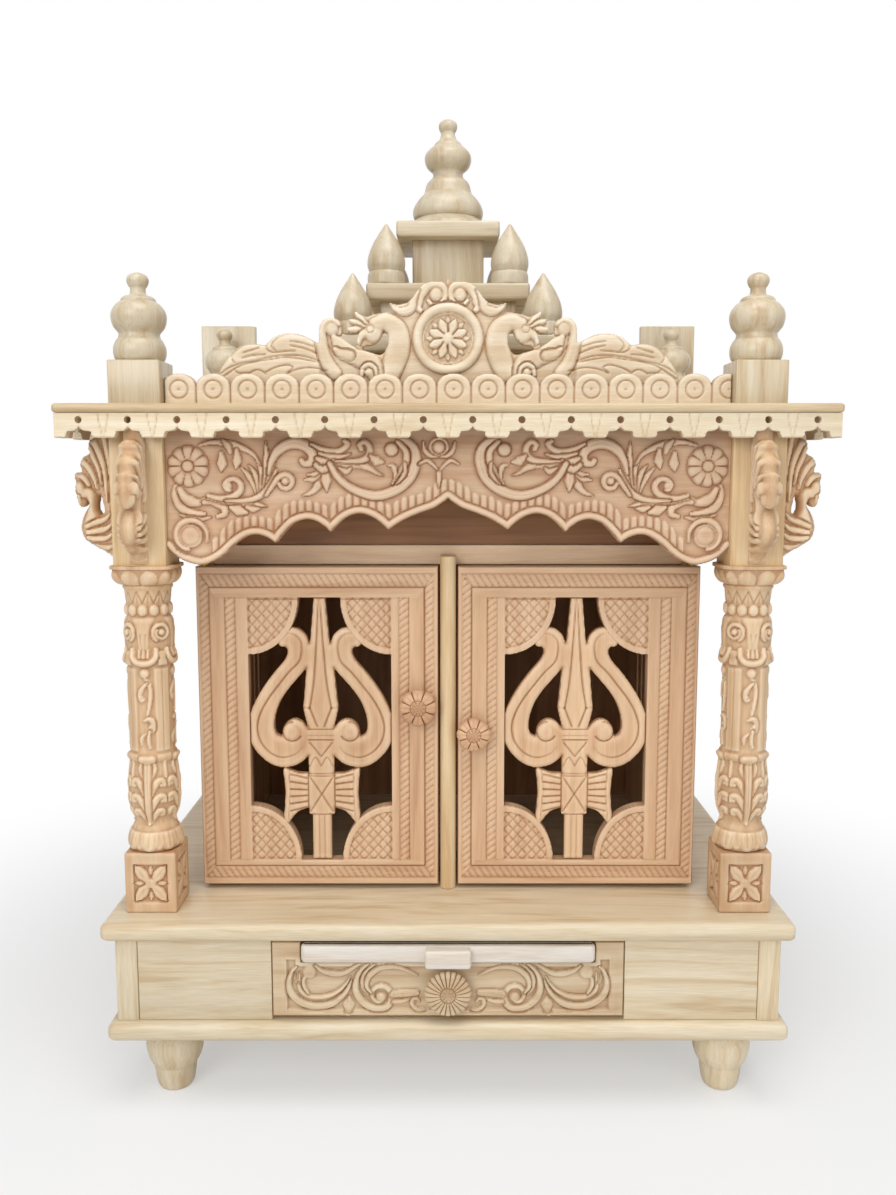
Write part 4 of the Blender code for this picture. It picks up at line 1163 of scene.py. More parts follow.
@dataclass
class Finishes:
    """Every finish of the temple, built once."""

    plain_x: bpy.types.Material
    plain_y: bpy.types.Material
    plain_z: bpy.types.Material
    base_z: bpy.types.Material
    roof: bpy.types.Material
    door_x: bpy.types.Material
    rail: bpy.types.Material
    door_z: bpy.types.Material
    frieze: bpy.types.Material
    crest: bpy.types.Material
    drawer: bpy.types.Material
    column: bpy.types.Material
    pale_x: bpy.types.Material
    pale_y: bpy.types.Material
    shaded: bpy.types.Material
    fret: bpy.types.Material
    knob: bpy.types.Material
    turned: bpy.types.Material
    slab: bpy.types.Material
    inside: bpy.types.Material
    lining: bpy.types.Material
    tray: bpy.types.Material
    brass: bpy.types.Material

    @classmethod
    def built(cls) -> "Finishes":
        """Build the finishes: planed boards, rosier doors, carved and turned work, brass.

        Returns:
            All the finishes.
        """
        # in each set, the last two tones colour the painted shade and the painted highlight
        board_ = dict(light="#e3d5ba", dark="#dbc9a8", streak="#cdb38d", hollow="#a5835a",
                      crest="#f2e6cf", band_mm=9.0)
        door = dict(light="#dab691", dark="#cfa67f", streak="#c0926b", hollow="#966440",
                    crest="#e8cbab")
        column = dict(light="#e6c8a1", dark="#dab58b", streak="#cda47b", hollow="#a26f45",
                      crest="#f4e1c4", roughness=0.5)
        frieze = dict(light="#d8b896", dark="#cda683", streak="#be936e", hollow="#94623c",
                      crest="#e9d0b3", roughness=0.5)
        crest = dict(light="#dccab0", dark="#cfb897", streak="#caae8b", hollow="#a0754f",
                     crest="#f3e7d2", roughness=0.5)
        drawer = dict(light="#dcc6a5", dark="#cfb38e", streak="#c09e77", hollow="#94673f",
                      crest="#eddcc0", roughness=0.5)
        pale = dict(light="#e9dbc0", dark="#dfccab", streak="#d2ba95", hollow="#a98455",
                    crest="#f5ead4")
        lathe_work = dict(light="#d6cab1", dark="#cbb99a", streak="#b9a07c", hollow="#94764c",
                          crest="#e9dfc9", roughness=0.32)
        brown = dict(light="#b5875f", dark="#a27349", streak="#8b5f3b", hollow="#6d4526",
                     crest="#c69b74", roughness=0.6)

        def wood(name: str, grain: Grain, seed: float, **tones: object) -> bpy.types.Material:
            """Build one finish of wood."""
            return WoodFinish(name, grain=grain, seed=seed, **tones).build()

        return cls(
            # planed boards: pale and even, with fine bands along each board
            plain_x=wood("whitewood_planed_across", Grain.X, 0.0, **board_),
            plain_y=wood("whitewood_planed_deep", Grain.Y, 1.7, **board_),
            # square posts: the same wood with more honey in it
            plain_z=wood("honey_whitewood_upright", Grain.Z, 3.1),
            base_z=wood("whitewood_planed_upright", Grain.Z, 18.1, **board_),
            # the roof board gets duller, darker tones: painted shade, as light only grazes it
            roof=wood("whitewood_roof_board_painted_shade", Grain.X, 19.6, light="#d3bf9c", dark="#c8b08a",
                      streak="#b99c75", hollow="#a5835a", crest="#e0cfb0"),
            # doors: rosier wood, whose grain turns at the mitres
            door_x=wood("rosy_whitewood_rail", Grain.X, 5.3, **door),
            # the rail gets lighter tones: painted light against the shade of the valance
            rail=wood("whitewood_rail_painted_light", Grain.X, 22.4, light="#f2d3af", dark="#e8c49d",
                      streak="#dab289"),
            door_z=wood("rosy_whitewood_stile", Grain.Z, 6.9, **door),
            # carved work: unpolished, with painted shade in its cuts and painted highlight on its
            # crests, so that the relief reads
            # the frieze's tones are darker than the other carving, partly painted shade under the
            # roof
            frieze=wood("carved_frieze_wood", Grain.X, 8.2, **frieze),
            crest=wood("carved_crest_wood", Grain.X, 4.4, **crest),
            drawer=wood("carved_drawer_wood", Grain.X, 13.3, **drawer),
            column=wood("carved_column_wood", Grain.Z, 9.4, **column),
            # fringe: pale cream wood, palest of all partly by painted light, as it catches the
            # light
            pale_x=wood("creamy_whitewood_across", Grain.X, 10.3, **pale),
            pale_y=wood("creamy_whitewood_deep", Grain.Y, 11.9, **pale),
            # the board over the chamber looks brown, because it stands in the roof's shade
            shaded=wood("shaded_whitewood_board", Grain.X, 2.9, light="#a2703f", dark="#915f33",
                        streak="#7c4d27", hollow="#653c1c", crest="#b98a58"),
            # frets and knobs: rosy wood with browner painted shade in the cuts
            fret=wood("rosy_whitewood_fret", Grain.Z, 7.7, light="#dfbc95", dark="#d3aa82",
                      streak="#c4976d", hollow="#96643e", crest="#ecd1b0"),
            knob=wood("rosy_knob_wood", Grain.X, 2.2, light="#dbb28b", dark="#cda07a",
                      streak="#be8f6b", hollow="#8a5634", crest="#eccaa8"),
            # turned work: greyer, and smoother than the rest from the sanding on the lathe
            turned=wood("whitewood_turned", Grain.Z, 12.6, **lathe_work),
            slab=wood("whitewood_slab", Grain.X, 20.9, **lathe_work),
            # the inside: brown, dull wood, darkened by painted shade, so that the chamber looks
            # deep
            inside=wood("brown_inside_painted_shade", Grain.Z, 14.8, **brown),
            lining=wood("brown_lining_painted_shade", Grain.Y, 21.7, **brown),
            # the tray's lip is the whitest strip of the front
            tray=wood("bleached_tray_strip", Grain.X, 16.1, light="#eae4db", dark="#e2d7c9",
                      streak="#d5c4ae"),
            brass=BrassFinish().build())


@dataclass
class Base:
    """Turned feet, plinth, base box with its panels, runners and the deck."""

    foot: tuple[Point, ...] = (
        (0, 0.5), (0, 0.5), (0.02, 0.57), (0.1, 0.65), (0.3, 0.72), (0.345, 0.73), (0.345, 0.73),
        (0.36, 0.77), (0.45, 0.89), (0.56, 0.96), (0.66, 0.98), (0.76, 0.94), (0.84, 0.85),
        (0.885, 0.76), (0.885, 0.76), (0.9, 0.73), (1, 0.72), (1, 0.72))
    foot_radius: float = 0.031
    post: float = 0.022
    panel_t: float = 0.015
    panel_recess: float = 0.0012
    drawer_gap: float = 0.0012
    joint: float = 0.0004

    def build(self, finish: Finishes) -> None:
        """Build and dress the whole base.

        Args:
            finish: the finishes.
        """
        # the feet take the paler planed finish: painted light against the plinth's shade
        for name in ("front_left", "front_right", "rear_left", "rear_right"):
            lo, hi = box_of("foot_" + name)
            mid = (lo + hi) / 2
            show("turned_foot_" + name, turned(mid[0], mid[1], lo[2], hi[2], self.foot_radius,
                                               self.foot, 56, 4), finish.base_z, ["foot_" + name])
        lo, hi = box_of("plinth_board")
        show("plinth", board(lo, hi, bullnose(0.008, 0.25), 0.006), finish.plain_x,
             ["plinth_board"])
        lo, hi = box_of("deck_board")
        show("deck", board(lo, hi, bullnose(0.007, 0.30), 0.006), finish.plain_x, ["deck_board"])
        self.box(finish)

    def box(self, finish: Finishes) -> None:
        """Corner posts, front and side panels, back and the blocks beside the drawer.

        Args:
            finish: the finishes.
        """
        lo, hi = box_of("base_box")
        drawer_lo, drawer_hi = box_of("drawer_front")
        gap = drawer_lo[0] - self.drawer_gap
        t, p, r, j = self.panel_t, self.post, self.panel_recess, self.joint
        posts = [board((x0, y0, lo[2]), (x1, y1, hi[2]), eased(hi[2] - lo[2], 0.0004), 0.0012)
                 for x0, x1 in ((lo[0], lo[0] + p), (hi[0] - p, hi[0]))
                 for y0, y1 in ((lo[1], lo[1] + p), (hi[1] - p, hi[1]))]
        show("base_corner_posts", joined(posts), finish.base_z, ["base_box"])
        nose = eased(hi[2] - lo[2], 0.0005)
        across = [board((x0, lo[1] + r, lo[2]), (x1, lo[1] + t, hi[2]), nose, 0.0008)
                  for x0, x1 in ((lo[0] + p + j, gap), (-gap, hi[0] - p - j))]
        across.append(board((gap, lo[1] + r, drawer_hi[2] + self.drawer_gap),
                            (-gap, lo[1] + 0.012, hi[2]), eased(0.0034, 0.0004), 0.0005))
        across.append(board((lo[0] + p + j, hi[1] - t, lo[2]), (hi[0] - p - j, hi[1] - r, hi[2]),
                            nose, 0.0008))
        show("base_panels_across", joined(across), finish.plain_x)
        deep = [board((x0, lo[1] + p + j, lo[2]), (x1, hi[1] - p - j, hi[2]), nose, 0.0008)
                for x0, x1 in ((lo[0] + r, lo[0] + t), (hi[0] - t, hi[0] - r))]
        show("base_panels_deep", joined(deep), finish.plain_y)
        for name in ("drawer_runner_left", "drawer_runner_right"):
            lo, hi = box_of(name)
            show(name + "_strip", board(lo, hi, eased(hi[2] - lo[2], 0.0006), 0.0008),
                 finish.inside, [name])


@dataclass
class Drawer:
    """Drawer with its carved front, many-petalled knob and box."""

    floor: float = 3.4
    panel: tuple[float, float, float, float] = (-165.5, 165.5, 108.4, 155.2)
    ear_z: float = 163.0
    notch: float = 21.7
    notch_gap: float = 1.2
    border: float = 2.6
    border_top: float = 165.6
    knob_z: float = 131.2
    strands: tuple[Strand, ...] = (
        Strand(((155.5, 154.3), (160.7, 148.2), (163.4, 137.5), (161.7, 126.7), (154.8, 117.9),
            (143.4, 112.5), (130.5, 111.8), (119, 114.5), (109.9, 121.3), (103.4, 129.4),
            (99.5, 138.8)), ((0, 1), (0.3, 3.2), (0.7, 2.9), (1, 1)), 3.6, vein=0.6),
        Strand(((153.9, 134.8), (151.4, 128), (144.5, 122.6), (134.3, 121), (122.7, 122.6),
            (112.4, 128), (104.6, 136.1), (100.7, 142.8)), ((0, 1.5), (0.5, 2.1), (1, 0.7)), 3),
        Strand(((146.1, 144.2), (148.7, 138.8), (147.5, 131.4), (143.8, 125.3)), ((0, 1.2),
            (0.5, 1.7), (1, 1)), 2.8),
        Strand(((153, 148.2), (152.5, 141.5), (151.9, 136.1)), ((0, 0.6), (0.5, 1.1), (1, 0.5)),
            2.2),
        Strand(((156.9, 146.2), (157.2, 141.5), (156.3, 136.1)), ((0, 0.5), (0.5, 0.9), (1, 0.4)),
            2),
        Strand(((136.3, 155.6), (128.7, 149.6), (116, 146.6), (105.8, 147.9), (95.5, 154.3),
            (90.3, 157.6)), ((0, 1), (0.4, 2.9), (1, 1.2)), 3.2, vein=0.5),
        Strand(((82, 157.6), (89.1, 150.9), (93.7, 141.5), (95.1, 130.7), (92, 121.3),
            (84.4, 113.2), (75.4, 109.4), (65.2, 109.8), (59.3, 115.9), (58.6, 125.3),
            (63.7, 132.1), (71.4, 133.1), (77.2, 128.7), (77.9, 121.9), (73.4, 116.5),
            (67.7, 117.9), (66.4, 120.6)), ((0, 1.2), (0.3, 3.2), (0.6, 2.7), (0.85, 1.8),
            (1, 1.1)), 3.6, vein=0.5),
        Strand(((31.7, 144.9), (44.4, 151.6), (55.9, 154.3), (68.7, 152.9), (77.7, 147.5),
            (83.5, 140.2), (83.5, 132.1), (79.1, 126)), ((0, 0.7), (0.4, 2.2), (0.8, 2.7), (1, 1)),
            3.2, vein=0.6),
        Strand(((75, 156.9), (82.7, 150.9), (87.7, 142.8), (88, 132.1), (82.3, 124)), ((0, 1),
            (0.5, 1.6), (1, 0.7)), 2.6),
        Strand(((101.6, 121.3), (102, 115.9), (102.6, 107.7)), ((0, 1.2), (0.55, 5.6), (1, 3.2)),
            2.6, ribs=2),
        Strand(((56.1, 124), (47.1, 125.3), (33, 126)), ((0, 3.2), (0.5, 3.4), (1, 2.9)), 2.6,
            vein=0.6),
        Strand(((56.1, 115.9), (47.2, 116.5), (39.5, 118.8)), ((0, 1.7), (0.5, 1.9), (1, 1)), 2.2),
        Strand(((24.1, 107.7), (31.8, 107.7), (36.7, 112.5), (36.6, 117.9), (32.4, 119.9),
            (29.5, 116.5)), ((0, 1), (0.5, 1.9), (1, 1.2)), 2.6))

    def build(self, finish: Finishes) -> None:
        """Build and dress the drawer on its own body.

        Args:
            finish: the finishes.
        """
        lo, hi = box_of("drawer_front")
        lo, hi = lo / MM, hi / MM
        notch = hi[2] - self.notch
        ear = abs(box_of("tray_lip")[0][0] / MM) + self.notch_gap
        loop = np.array([(lo[0], lo[2]), (hi[0], lo[2]), (hi[0], hi[2]), (ear, hi[2]),
                         (ear, notch), (-ear, notch), (-ear, hi[2]), (lo[0], hi[2])])
        face = Relief((lo[0], hi[0]), (lo[2], hi[2]), 1.0)
        face.tint = 2.2
        self.carve(face)
        away, _, _ = to_outline(face.u, face.w, [loop])
        face.roll(away, 0.9)
        shell = carved(face, [loop], hi[1] - lo[1])
        show("drawer_carved_front", shell.moved((0, lo[1] * MM, 0)), finish.drawer,
             ["drawer_front"], "drawer", sharp=50.0)
        dress("drawer_box", finish.lining)
        show("drawer_flower_knob",
             flower_knob(0.0, lo[1] + self.floor, self.knob_z, 23.9, 20.3, 24, 0.30, 3.0, False),
             finish.drawer, ["drawer_knob"], "drawer", sharp=60.0)

    def carve(self, face: Relief) -> None:
        """Sink the panel and leave the scrolls standing in it.

        Args:
            face: the height field.
        """
        x0, x1, z0, z1 = self.panel
        u, w = face.u, face.w
        sunk = np.minimum(np.minimum(u - x0, x1 - u), w - z0)
        # beside the notch for the tray the panel reaches up into both ears
        sunk = np.minimum(sunk, np.where(np.abs(u) > 156.5, self.ear_z, z1) - w)
        sunk = np.minimum(sunk, np.where(w > 155.0, np.abs(u) - 156.2, 9.0))
        face.h = -self.floor * np.clip(sunk / 0.8, 0, 1)
        for strand in self.strands:
            strand.moved(0.0, 1.3).draw(face, -self.floor, 0.6)
        face.dome(142.2, 148.5, 7.4, 3.7, -self.floor, 3.0)
        face.dome(69.0, 121.5, 5.4, 3.6, -self.floor, 3.0)
        for k in (-1.8, 0.0, 1.8):
            face.cut([(31.0, 126.0 + k), (46.0, 125.0 + k), (56.0, 124.0 + k)], 0.7, 0.9,
                     False, -self.floor)
        face.mirror()
        face.h = np.minimum(face.h, 0.25)
        a, b, c, top = x0 - self.border, x1 + self.border, z0 - self.border, self.border_top
        face.cut([(a, c), (b, c), (b, top)], 0.8, 0.6)
        face.cut([(a, c), (a, top)], 0.8, 0.6)


@dataclass
class Roof:
    """Roof board with a moulded edge."""

    def build(self, finish: Finishes) -> None:
        """Build and dress the roof board."""
        lo, hi = box_of("roof_board")
        show("roof", board(lo, hi, bullnose(0.003, 0.3), 0.004), finish.roof, ["roof_board"])


@dataclass
class Finials:
    """Corner blocks with turned finials; the rear ones have a flat board behind."""

    profile: tuple[Point, ...] = (
        (0, 0.8), (0, 0.8), (0.035, 0.9), (0.1, 0.955), (0.17, 0.94), (0.235, 0.85), (0.265, 0.77),
        (0.265, 0.77), (0.3, 0.74), (0.33, 0.76), (0.4, 0.93), (0.49, 1), (0.57, 0.96), (0.64, 0.8),
        (0.675, 0.64), (0.675, 0.64), (0.7, 0.62), (0.725, 0.54), (0.745, 0.36), (0.77, 0.29),
        (0.825, 0.285), (0.845, 0.33), (0.885, 0.39), (0.925, 0.395), (0.965, 0.32), (0.99, 0.17),
        (1, 0.04))
    radius: float = 0.027
    block_h: float = 0.043
    block_half: float = 0.0257
    tall: float = 0.087
    rear_set: float = 0.0265
    board_t: float = 0.0125

    def build(self, finish: Finishes) -> None:
        """Build and dress the four finials.

        Args:
            finish: the finishes.
        """
        for row in ("front", "rear"):
            for side in ("left", "right"):
                name = "finial_%s_%s" % (row, side)
                lo, hi = box_of(name)
                front_lo, front_hi = box_of("finial_front_" + side)
                half = self.block_half
                cx, cy = (front_lo[0] + front_hi[0]) / 2, (front_lo[1] + front_hi[1]) / 2
                if row == "rear":
                    cy = lo[1] + self.rear_set
                z = lo[2]
                parts = [board((cx - half, cy - half, z), (cx + half, cy + half, z + self.block_h),
                               eased(self.block_h, 0.0012), 0.0016),
                         turned(cx, cy, z + self.block_h - 0.0004, z + self.block_h + self.tall,
                                self.radius, self.profile, 60, 4)]
                if row == "rear":
                    parts.append(board((lo[0], hi[1] - self.board_t, z), (hi[0], hi[1], hi[2]),
                                       eased(hi[2] - z, 0.0012), 0.0015))
                show("turned_" + name, joined(parts), finish.turned, [name])


@dataclass
class Tower:
    """Three storeys of blocks and slabs with buds, under a turned dome."""

    bud: tuple[Point, ...] = (
        (0, 0.93), (0, 0.93), (0.015, 0.99), (0.07, 1), (0.15, 0.99), (0.2, 0.95), (0.22, 0.91),
        (0.22, 0.91), (0.25, 0.94), (0.33, 1), (0.42, 0.985), (0.55, 0.88), (0.7, 0.66),
        (0.83, 0.4), (0.92, 0.21), (0.975, 0.1), (1, 0.03))
    dome: tuple[Point, ...] = (
        (0, 1), (0, 1), (0.02, 0.99), (0.05, 0.93), (0.08, 0.82), (0.105, 0.745), (0.105, 0.745),
        (0.125, 0.8), (0.17, 0.82), (0.22, 0.79), (0.27, 0.71), (0.31, 0.62), (0.335, 0.56),
        (0.335, 0.56), (0.36, 0.54), (0.42, 0.5), (0.455, 0.43), (0.475, 0.37), (0.475, 0.37),
        (0.5, 0.345), (0.53, 0.36), (0.545, 0.4), (0.58, 0.49), (0.635, 0.54), (0.69, 0.52),
        (0.735, 0.42), (0.76, 0.34), (0.76, 0.34), (0.785, 0.3), (0.82, 0.21), (0.855, 0.17),
        (0.885, 0.165), (0.9, 0.19), (0.93, 0.215), (0.965, 0.2), (0.99, 0.12), (1, 0.03))
    slab_t: float = 0.018
    seat: float = 0.0003
    bud_h: float = 0.067
    bud_r: float = 0.021
    dome_h: float = 0.1256
    dome_r: float = 0.050

    def build(self, finish: Finishes) -> None:
        """Build and dress the storeys from the bottom up.

        Args:
            finish: the finishes.
        """
        for name, block, slab, buds, upper in (("tower_lower", 0.200, 0.2466, 0.103, "middle"),
                                               ("tower_middle", 0.150, 0.1799, 0.0685, "top"),
                                               ("tower_top", 0.081, 0.116, 0.0, "")):
            lo, hi = box_of(name)
            cx, cy = (lo[0] + hi[0]) / 2, (lo[1] + hi[1]) / 2
            z0 = lo[2]
            z2 = box_of("tower_" + upper)[0][2] - self.seat if upper else hi[2] - self.dome_h
            z1 = z2 - self.slab_t + self.seat
            b, s = block / 2, slab / 2
            parts = [board((cx - b, cy - b, z0), (cx + b, cy + b, z1 + 0.0005),
                           eased(z1 - z0, 0.0008), 0.0015)]
            show(name + "_slab", board((cx - s, cy - s, z1), (cx + s, cy + s, z2),
                                       bullnose(0.0022, 0.6), 0.003), finish.slab)
            if buds:
                parts += [turned(cx + sx * buds, cy + sy * buds, z2 - 0.0004, z2 + self.bud_h,
                                 self.bud_r, self.bud, 44, 4) for sx in (-1, 1) for sy in (-1, 1)]
            else:
                parts.append(turned(cx, cy, z2 - 0.0004, hi[2], self.dome_r, self.dome, 80, 4))
            show("turned_" + name, joined(parts), finish.turned, [name])


@dataclass
class Column:
    """Front column: block, lotus foot, leafy vase, vine shaft, swags, scrolls and capital."""

    side: str
    radius: float = 23.0
    step: float = 1.2
    block_w: float = 53.0
    block_top: float = 269.0
    block_step: float = 1.25
    block_darkening: float = 0.24
    sunk: float = 1.9
    flower_z: float = 236.4
    post_z: float = 0.5655
    profile: tuple[Point, ...] = (
        (268.8, 21.5), (270, 25), (273.5, 27.2), (279, 27), (285, 25.4), (289.5, 23.6), (293, 22.8),
        (296.5, 21.4), (299, 19.4), (301, 19), (304, 20.4), (311, 23.2), (322, 24.6), (340, 24.6),
        (354, 23.2), (360, 22.2), (364, 22.4), (368, 24.4), (371.5, 23), (376, 21.9), (420, 21.7),
        (458, 21.9), (462, 22.4), (465.5, 24.6), (474, 24.6), (478, 22.8), (484, 23.4), (497, 23.9),
        (508, 23), (512.5, 21.4), (526, 21.6), (529, 22.2), (538, 23.4), (540.4, 23), (541.4, 24.4),
        (543.4, 25.4), (545.2, 24.6), (546.4, 23))
    leaf: tuple[Strand, ...] = (
        Strand(((2.5, 299.5), (6, 307), (10.5, 312.5), (14.4, 311.5), (15.2, 307.5)), ((0, 1.8),
            (0.4, 3.3), (0.8, 2.8), (1, 1.6)), 2.3, 0.5),
        Strand(((2.5, 312), (6, 322), (11, 328), (15.2, 327), (16, 322)), ((0, 1.8), (0.4, 3.6),
            (0.8, 2.9), (1, 1.6)), 2.5, 0.5),
        Strand(((2.5, 328), (5.5, 338), (10.5, 344.5), (15, 343.5), (15.8, 338.5)), ((0, 1.8),
            (0.4, 3.6), (0.8, 2.9), (1, 1.6)), 2.5, 0.5),
        Strand(((1.8, 342), (4.2, 350), (7.6, 356.5), (7, 361.5)), ((0, 1.6), (0.5, 2.9), (1, 1.6)),
            2.2, 0.4))
    vine: tuple[Strand, ...] = (
        Strand(((0, 451), (4.2, 445.5), (5.6, 436), (4.2, 424), (1.6, 412), (0.2, 407)), ((0, 1.7),
            (0.5, 2.4), (1, 1.5)), 2),
        Strand(((2.4, 446), (-3.2, 440), (-6, 433.5), (-4.6, 428), (-1.8, 428.6)), ((0, 1.2),
            (0.5, 3), (1, 1.6)), 2.2, 0.4),
        Strand(((-2.6, 406.5), (2.6, 409), (7, 405.5), (7.2, 398), (3.8, 395.2), (2.2, 398.5)),
            ((0, 1.2), (0.35, 3), (0.8, 2.6), (1, 1.6)), 2.3, 0.4),
        Strand(((3.6, 396), (2.2, 388), (3.4, 379)), ((0, 1.7), (1, 1.9)), 2),
        Strand(((-1, 393), (-5.2, 389), (-5.6, 382.5)), ((0, 1), (0.6, 2.5), (1, 1.2)), 1.8))

    def build(self, finish: Finishes) -> None:
        """Build and dress one column.

        Args:
            finish: the finishes.
        """
        lo, hi = box_of("column_" + self.side)
        cx, cy = ((lo + hi) / 2 / MM)[:2]
        half = self.block_w / 2
        whole = joined([self.block(cx, cy, lo[2] / MM), self.shaft(cx, cy), self.capital(cx, cy)])
        post = board(((cx - half) * MM, (cy - half) * MM, self.post_z),
                     ((cx + half) * MM, (cy + half) * MM, hi[2]), eased(0.149, 0.0008), 0.0014)
        show("turned_column_" + self.side, whole, finish.column, ["column_" + self.side],
             sharp=48.0)
        show("upper_post_" + self.side, post, finish.plain_z)

    def block(self, cx: float, cy: float, z0: float) -> Shell:
        """Square foot with a four-petalled flower sunk in each face.

        Args:
            cx: axis in X, in millimetres.
            cy: axis in Y.
            z0: height of its foot, in millimetres.
        Returns:
            The shell in metres.
        """
        wide, half, ground, cw = self.block_w, self.block_w / 2, -self.sunk, self.flower_z
        face = Relief((0.0, 4 * wide), (z0 + 0.02, self.block_top), self.block_step)
        t = (face.u / wide + 0.5) % 1.0 - 0.5
        one = Relief((-half, half), (z0 + 0.02, self.block_top), self.block_step)
        edge = np.maximum(np.abs(one.u) - 17.5, np.abs(one.w - cw) - 20.5)
        one.h = ground * np.clip(-edge / 0.9, 0, 1)
        for turn in (0.0, 90.0, 180.0, 270.0):
            a = math.radians(turn)
            c, s = math.cos(a), math.sin(a)
            Strand(((4.0 * c, cw + 4.0 * s), (15.5 * c, cw + 17.0 * s)),
                   ((0, 1.6), (0.5, 3.0), (1, 0.8)), 1.7, 0.4).draw(one, ground)
        for c, s in ((1, 1), (-1, 1), (-1, -1), (1, -1)):
            Strand(((1.5 * c, cw + 1.8 * s), (8.0 * c, cw + 9.4 * s), (15.4 * c, cw + 18.4 * s)),
                   ((0, 2.6), (0.45, 6.4), (0.8, 4.6), (1, 0.8)), 2.7, 1.0).draw(one, ground)
        one.dome(0.0, cw, 5.4, 3.2, ground)
        one.h = np.minimum(one.h, 0.4)
        last = one.u.shape[0] - 1
        face.h = one.h[np.clip(((t[:, 0] + 0.5) * last).round().astype(int), 0, last)]
        edge_drop = np.minimum(face.w - face.w[0, 0], face.w[0, -1] - face.w)
        face.h = face.h - 0.9 * fade(edge_drop, 1.3)
        block = wrapped(face, square_ring(cx, cy, half - 0.1, 1.6), 4 * wide)
        # the whole block is darkened a little through the painted shade mix
        block.hollow = np.minimum(block.hollow + self.block_darkening, 1.0)
        return block

    def shaft(self, cx: float, cy: float) -> Shell:
        """Turned and carved shaft: one quarter is carved, then repeated four times.

        Args:
            cx: axis in X, in millimetres.
            cy: axis in Y.
        Returns:
            The shell in metres.
        """
        around = 2 * math.pi * self.radius
        part = around / 4
        step = part / int(round(part / self.step))
        line = np.array(self.profile)
        tall = (line[0, 0], line[-1, 0])
        face = Relief((-part / 2, part / 2), tall, step)
        for carve in (self.lotus, self.vase, self.panel, self.swags, self.scrolls):
            carve(face, part)
        body = np.interp(face.w[0], line[:, 0], line[:, 1])
        pad = np.pad(body, 1, mode="edge")
        body = (pad[:-2] + 2 * body + pad[2:]) / 4
        whole = Relief((0.0, around), tall, step)
        quarter = face.h[:-1]
        half = len(quarter) // 2
        turned_half = np.vstack([quarter[half:], quarter[:half]])
        whole.h = np.vstack([turned_half] * 4 + [turned_half[:1]])
        for k in range(4):
            hand = 1 if k % 2 else -1
            volute = spiral(part * (k + 0.5), 497.6, 9.6, 5.2, 90 + hand * 150, -hand * 1.25)
            whole.part(volute, ((0, 1.6), (1, 1.6)), 0.0, 1.0)
            whole.stroke(volute, ((0, 1.4), (0.3, 2.4), (1, 1.8)), 2.2)
            whole.dome(part * (k + 0.5), 497.6, 3.7, 3.0, power=2.6)
        whole.tint = 0.85
        # painted shade and highlight from the carving alone, before the turned profile is added
        low, high = whole.shades(2)
        whole.h = whole.h + (body - self.radius)[None]
        shell = wrapped(whole, round_ring(cx, cy, self.radius), around)
        shell.hollow, shell.crest = low[:-1].T.ravel(), high[:-1].T.ravel()
        return shell

    def lotus(self, face: Relief, part: float) -> None:
        """Two rows of petals that hang round the foot, each with a line inside its edge.

        Args:
            face: the height field.
            part: a quarter of the way round, in millimetres.
        """
        pitch = part / 2
        for shift, lift, tip in ((0.0, 1.0, 272.6), (0.5, 1.9, 270.2)):
            x = (face.u / pitch + shift) % 1.0 - 0.5
            drop = ramp(290.0, face.w, 290.0 - tip)
            q = np.abs(x) / (0.46 * arc(drop, 2.4) + 1e-6)
            petal = lift * arc(q, 4) * (face.w > tip) * (face.w < 290.0)
            petal -= 0.7 * fade(np.abs(q - 0.62), 0.16) * (petal > 0.3)
            petal -= 0.6 * fade(q, 0.14) * (drop < 0.75) * (petal > 0.3)
            face.h = np.maximum(face.h, petal)

    def vase(self, face: Relief, part: float) -> None:
        """Acanthus leaf with a curled tip on the vase, buds and tabs between the leaves.

        Args:
            face: the height field.
            part: a quarter of the way round, in millimetres.
        """
        for strand in self.leaf:
            strand.draw(face)
        for cu, cw in ((12.8, 308.2), (13.2, 323.2), (12.9, 339.6)):
            face.dome(cu, cw, 2.3, 2.4)
        face.mirror()
        Strand(((0.0, 299.0), (0.0, 330.0), (0.0, 364.0)), ((0, 2.6), (0.5, 3.3), (1, 4.2)), 2.8,
               0.9).draw(face)
        for sign in (-1, 1):
            face.stroke([(sign * part / 2, 347.0), (sign * part / 2, 363.0)],
                        ((0, 1.6), (1, 2.4)), 1.6)
        face.stroke([(-4.6, 366.4), (4.6, 366.4)], ((0, 4.6), (1, 4.6)), 3.0)
        face.cut([(-6.5, 362.4), (0.0, 361.0), (6.5, 362.4)], 0.9, 0.9)
        tab = (np.abs(np.abs(face.u) - part / 2) < 7.5) & (np.abs(face.w - 368.0) < 3.4)
        face.h = np.where(tab, np.maximum(face.h, 0.9), face.h)

    def panel(self, face: Relief, part: float) -> None:
        """Vine with curled leaves in a sunk panel between upright fillets.

        Args:
            face: the height field.
            part: a quarter of the way round, in millimetres.
        """
        flat = ramp(np.abs(face.u), 9.4, 1.0)
        tall = ramp(face.w, 374.0, 1.6) * ramp(461.5, face.w, 1.6)
        face.h += 1.5 * flat * tall
        groove = fade(np.abs(np.abs(face.u) - part / 2), 0.9)
        face.h -= 0.6 * groove * tall
        for strand in self.vine:
            strand.draw(face)
        face.dome(0.0, 456.0, 5.2, 2.8, power=2.3)
        face.cut([(-4.2, 451.6), (0.0, 449.8), (4.2, 451.6)], 0.9, 0.9)
        face.dome(-4.2, 431.6, 2.0, 2.6)
        face.dome(4.7, 400.6, 2.3, 2.7)

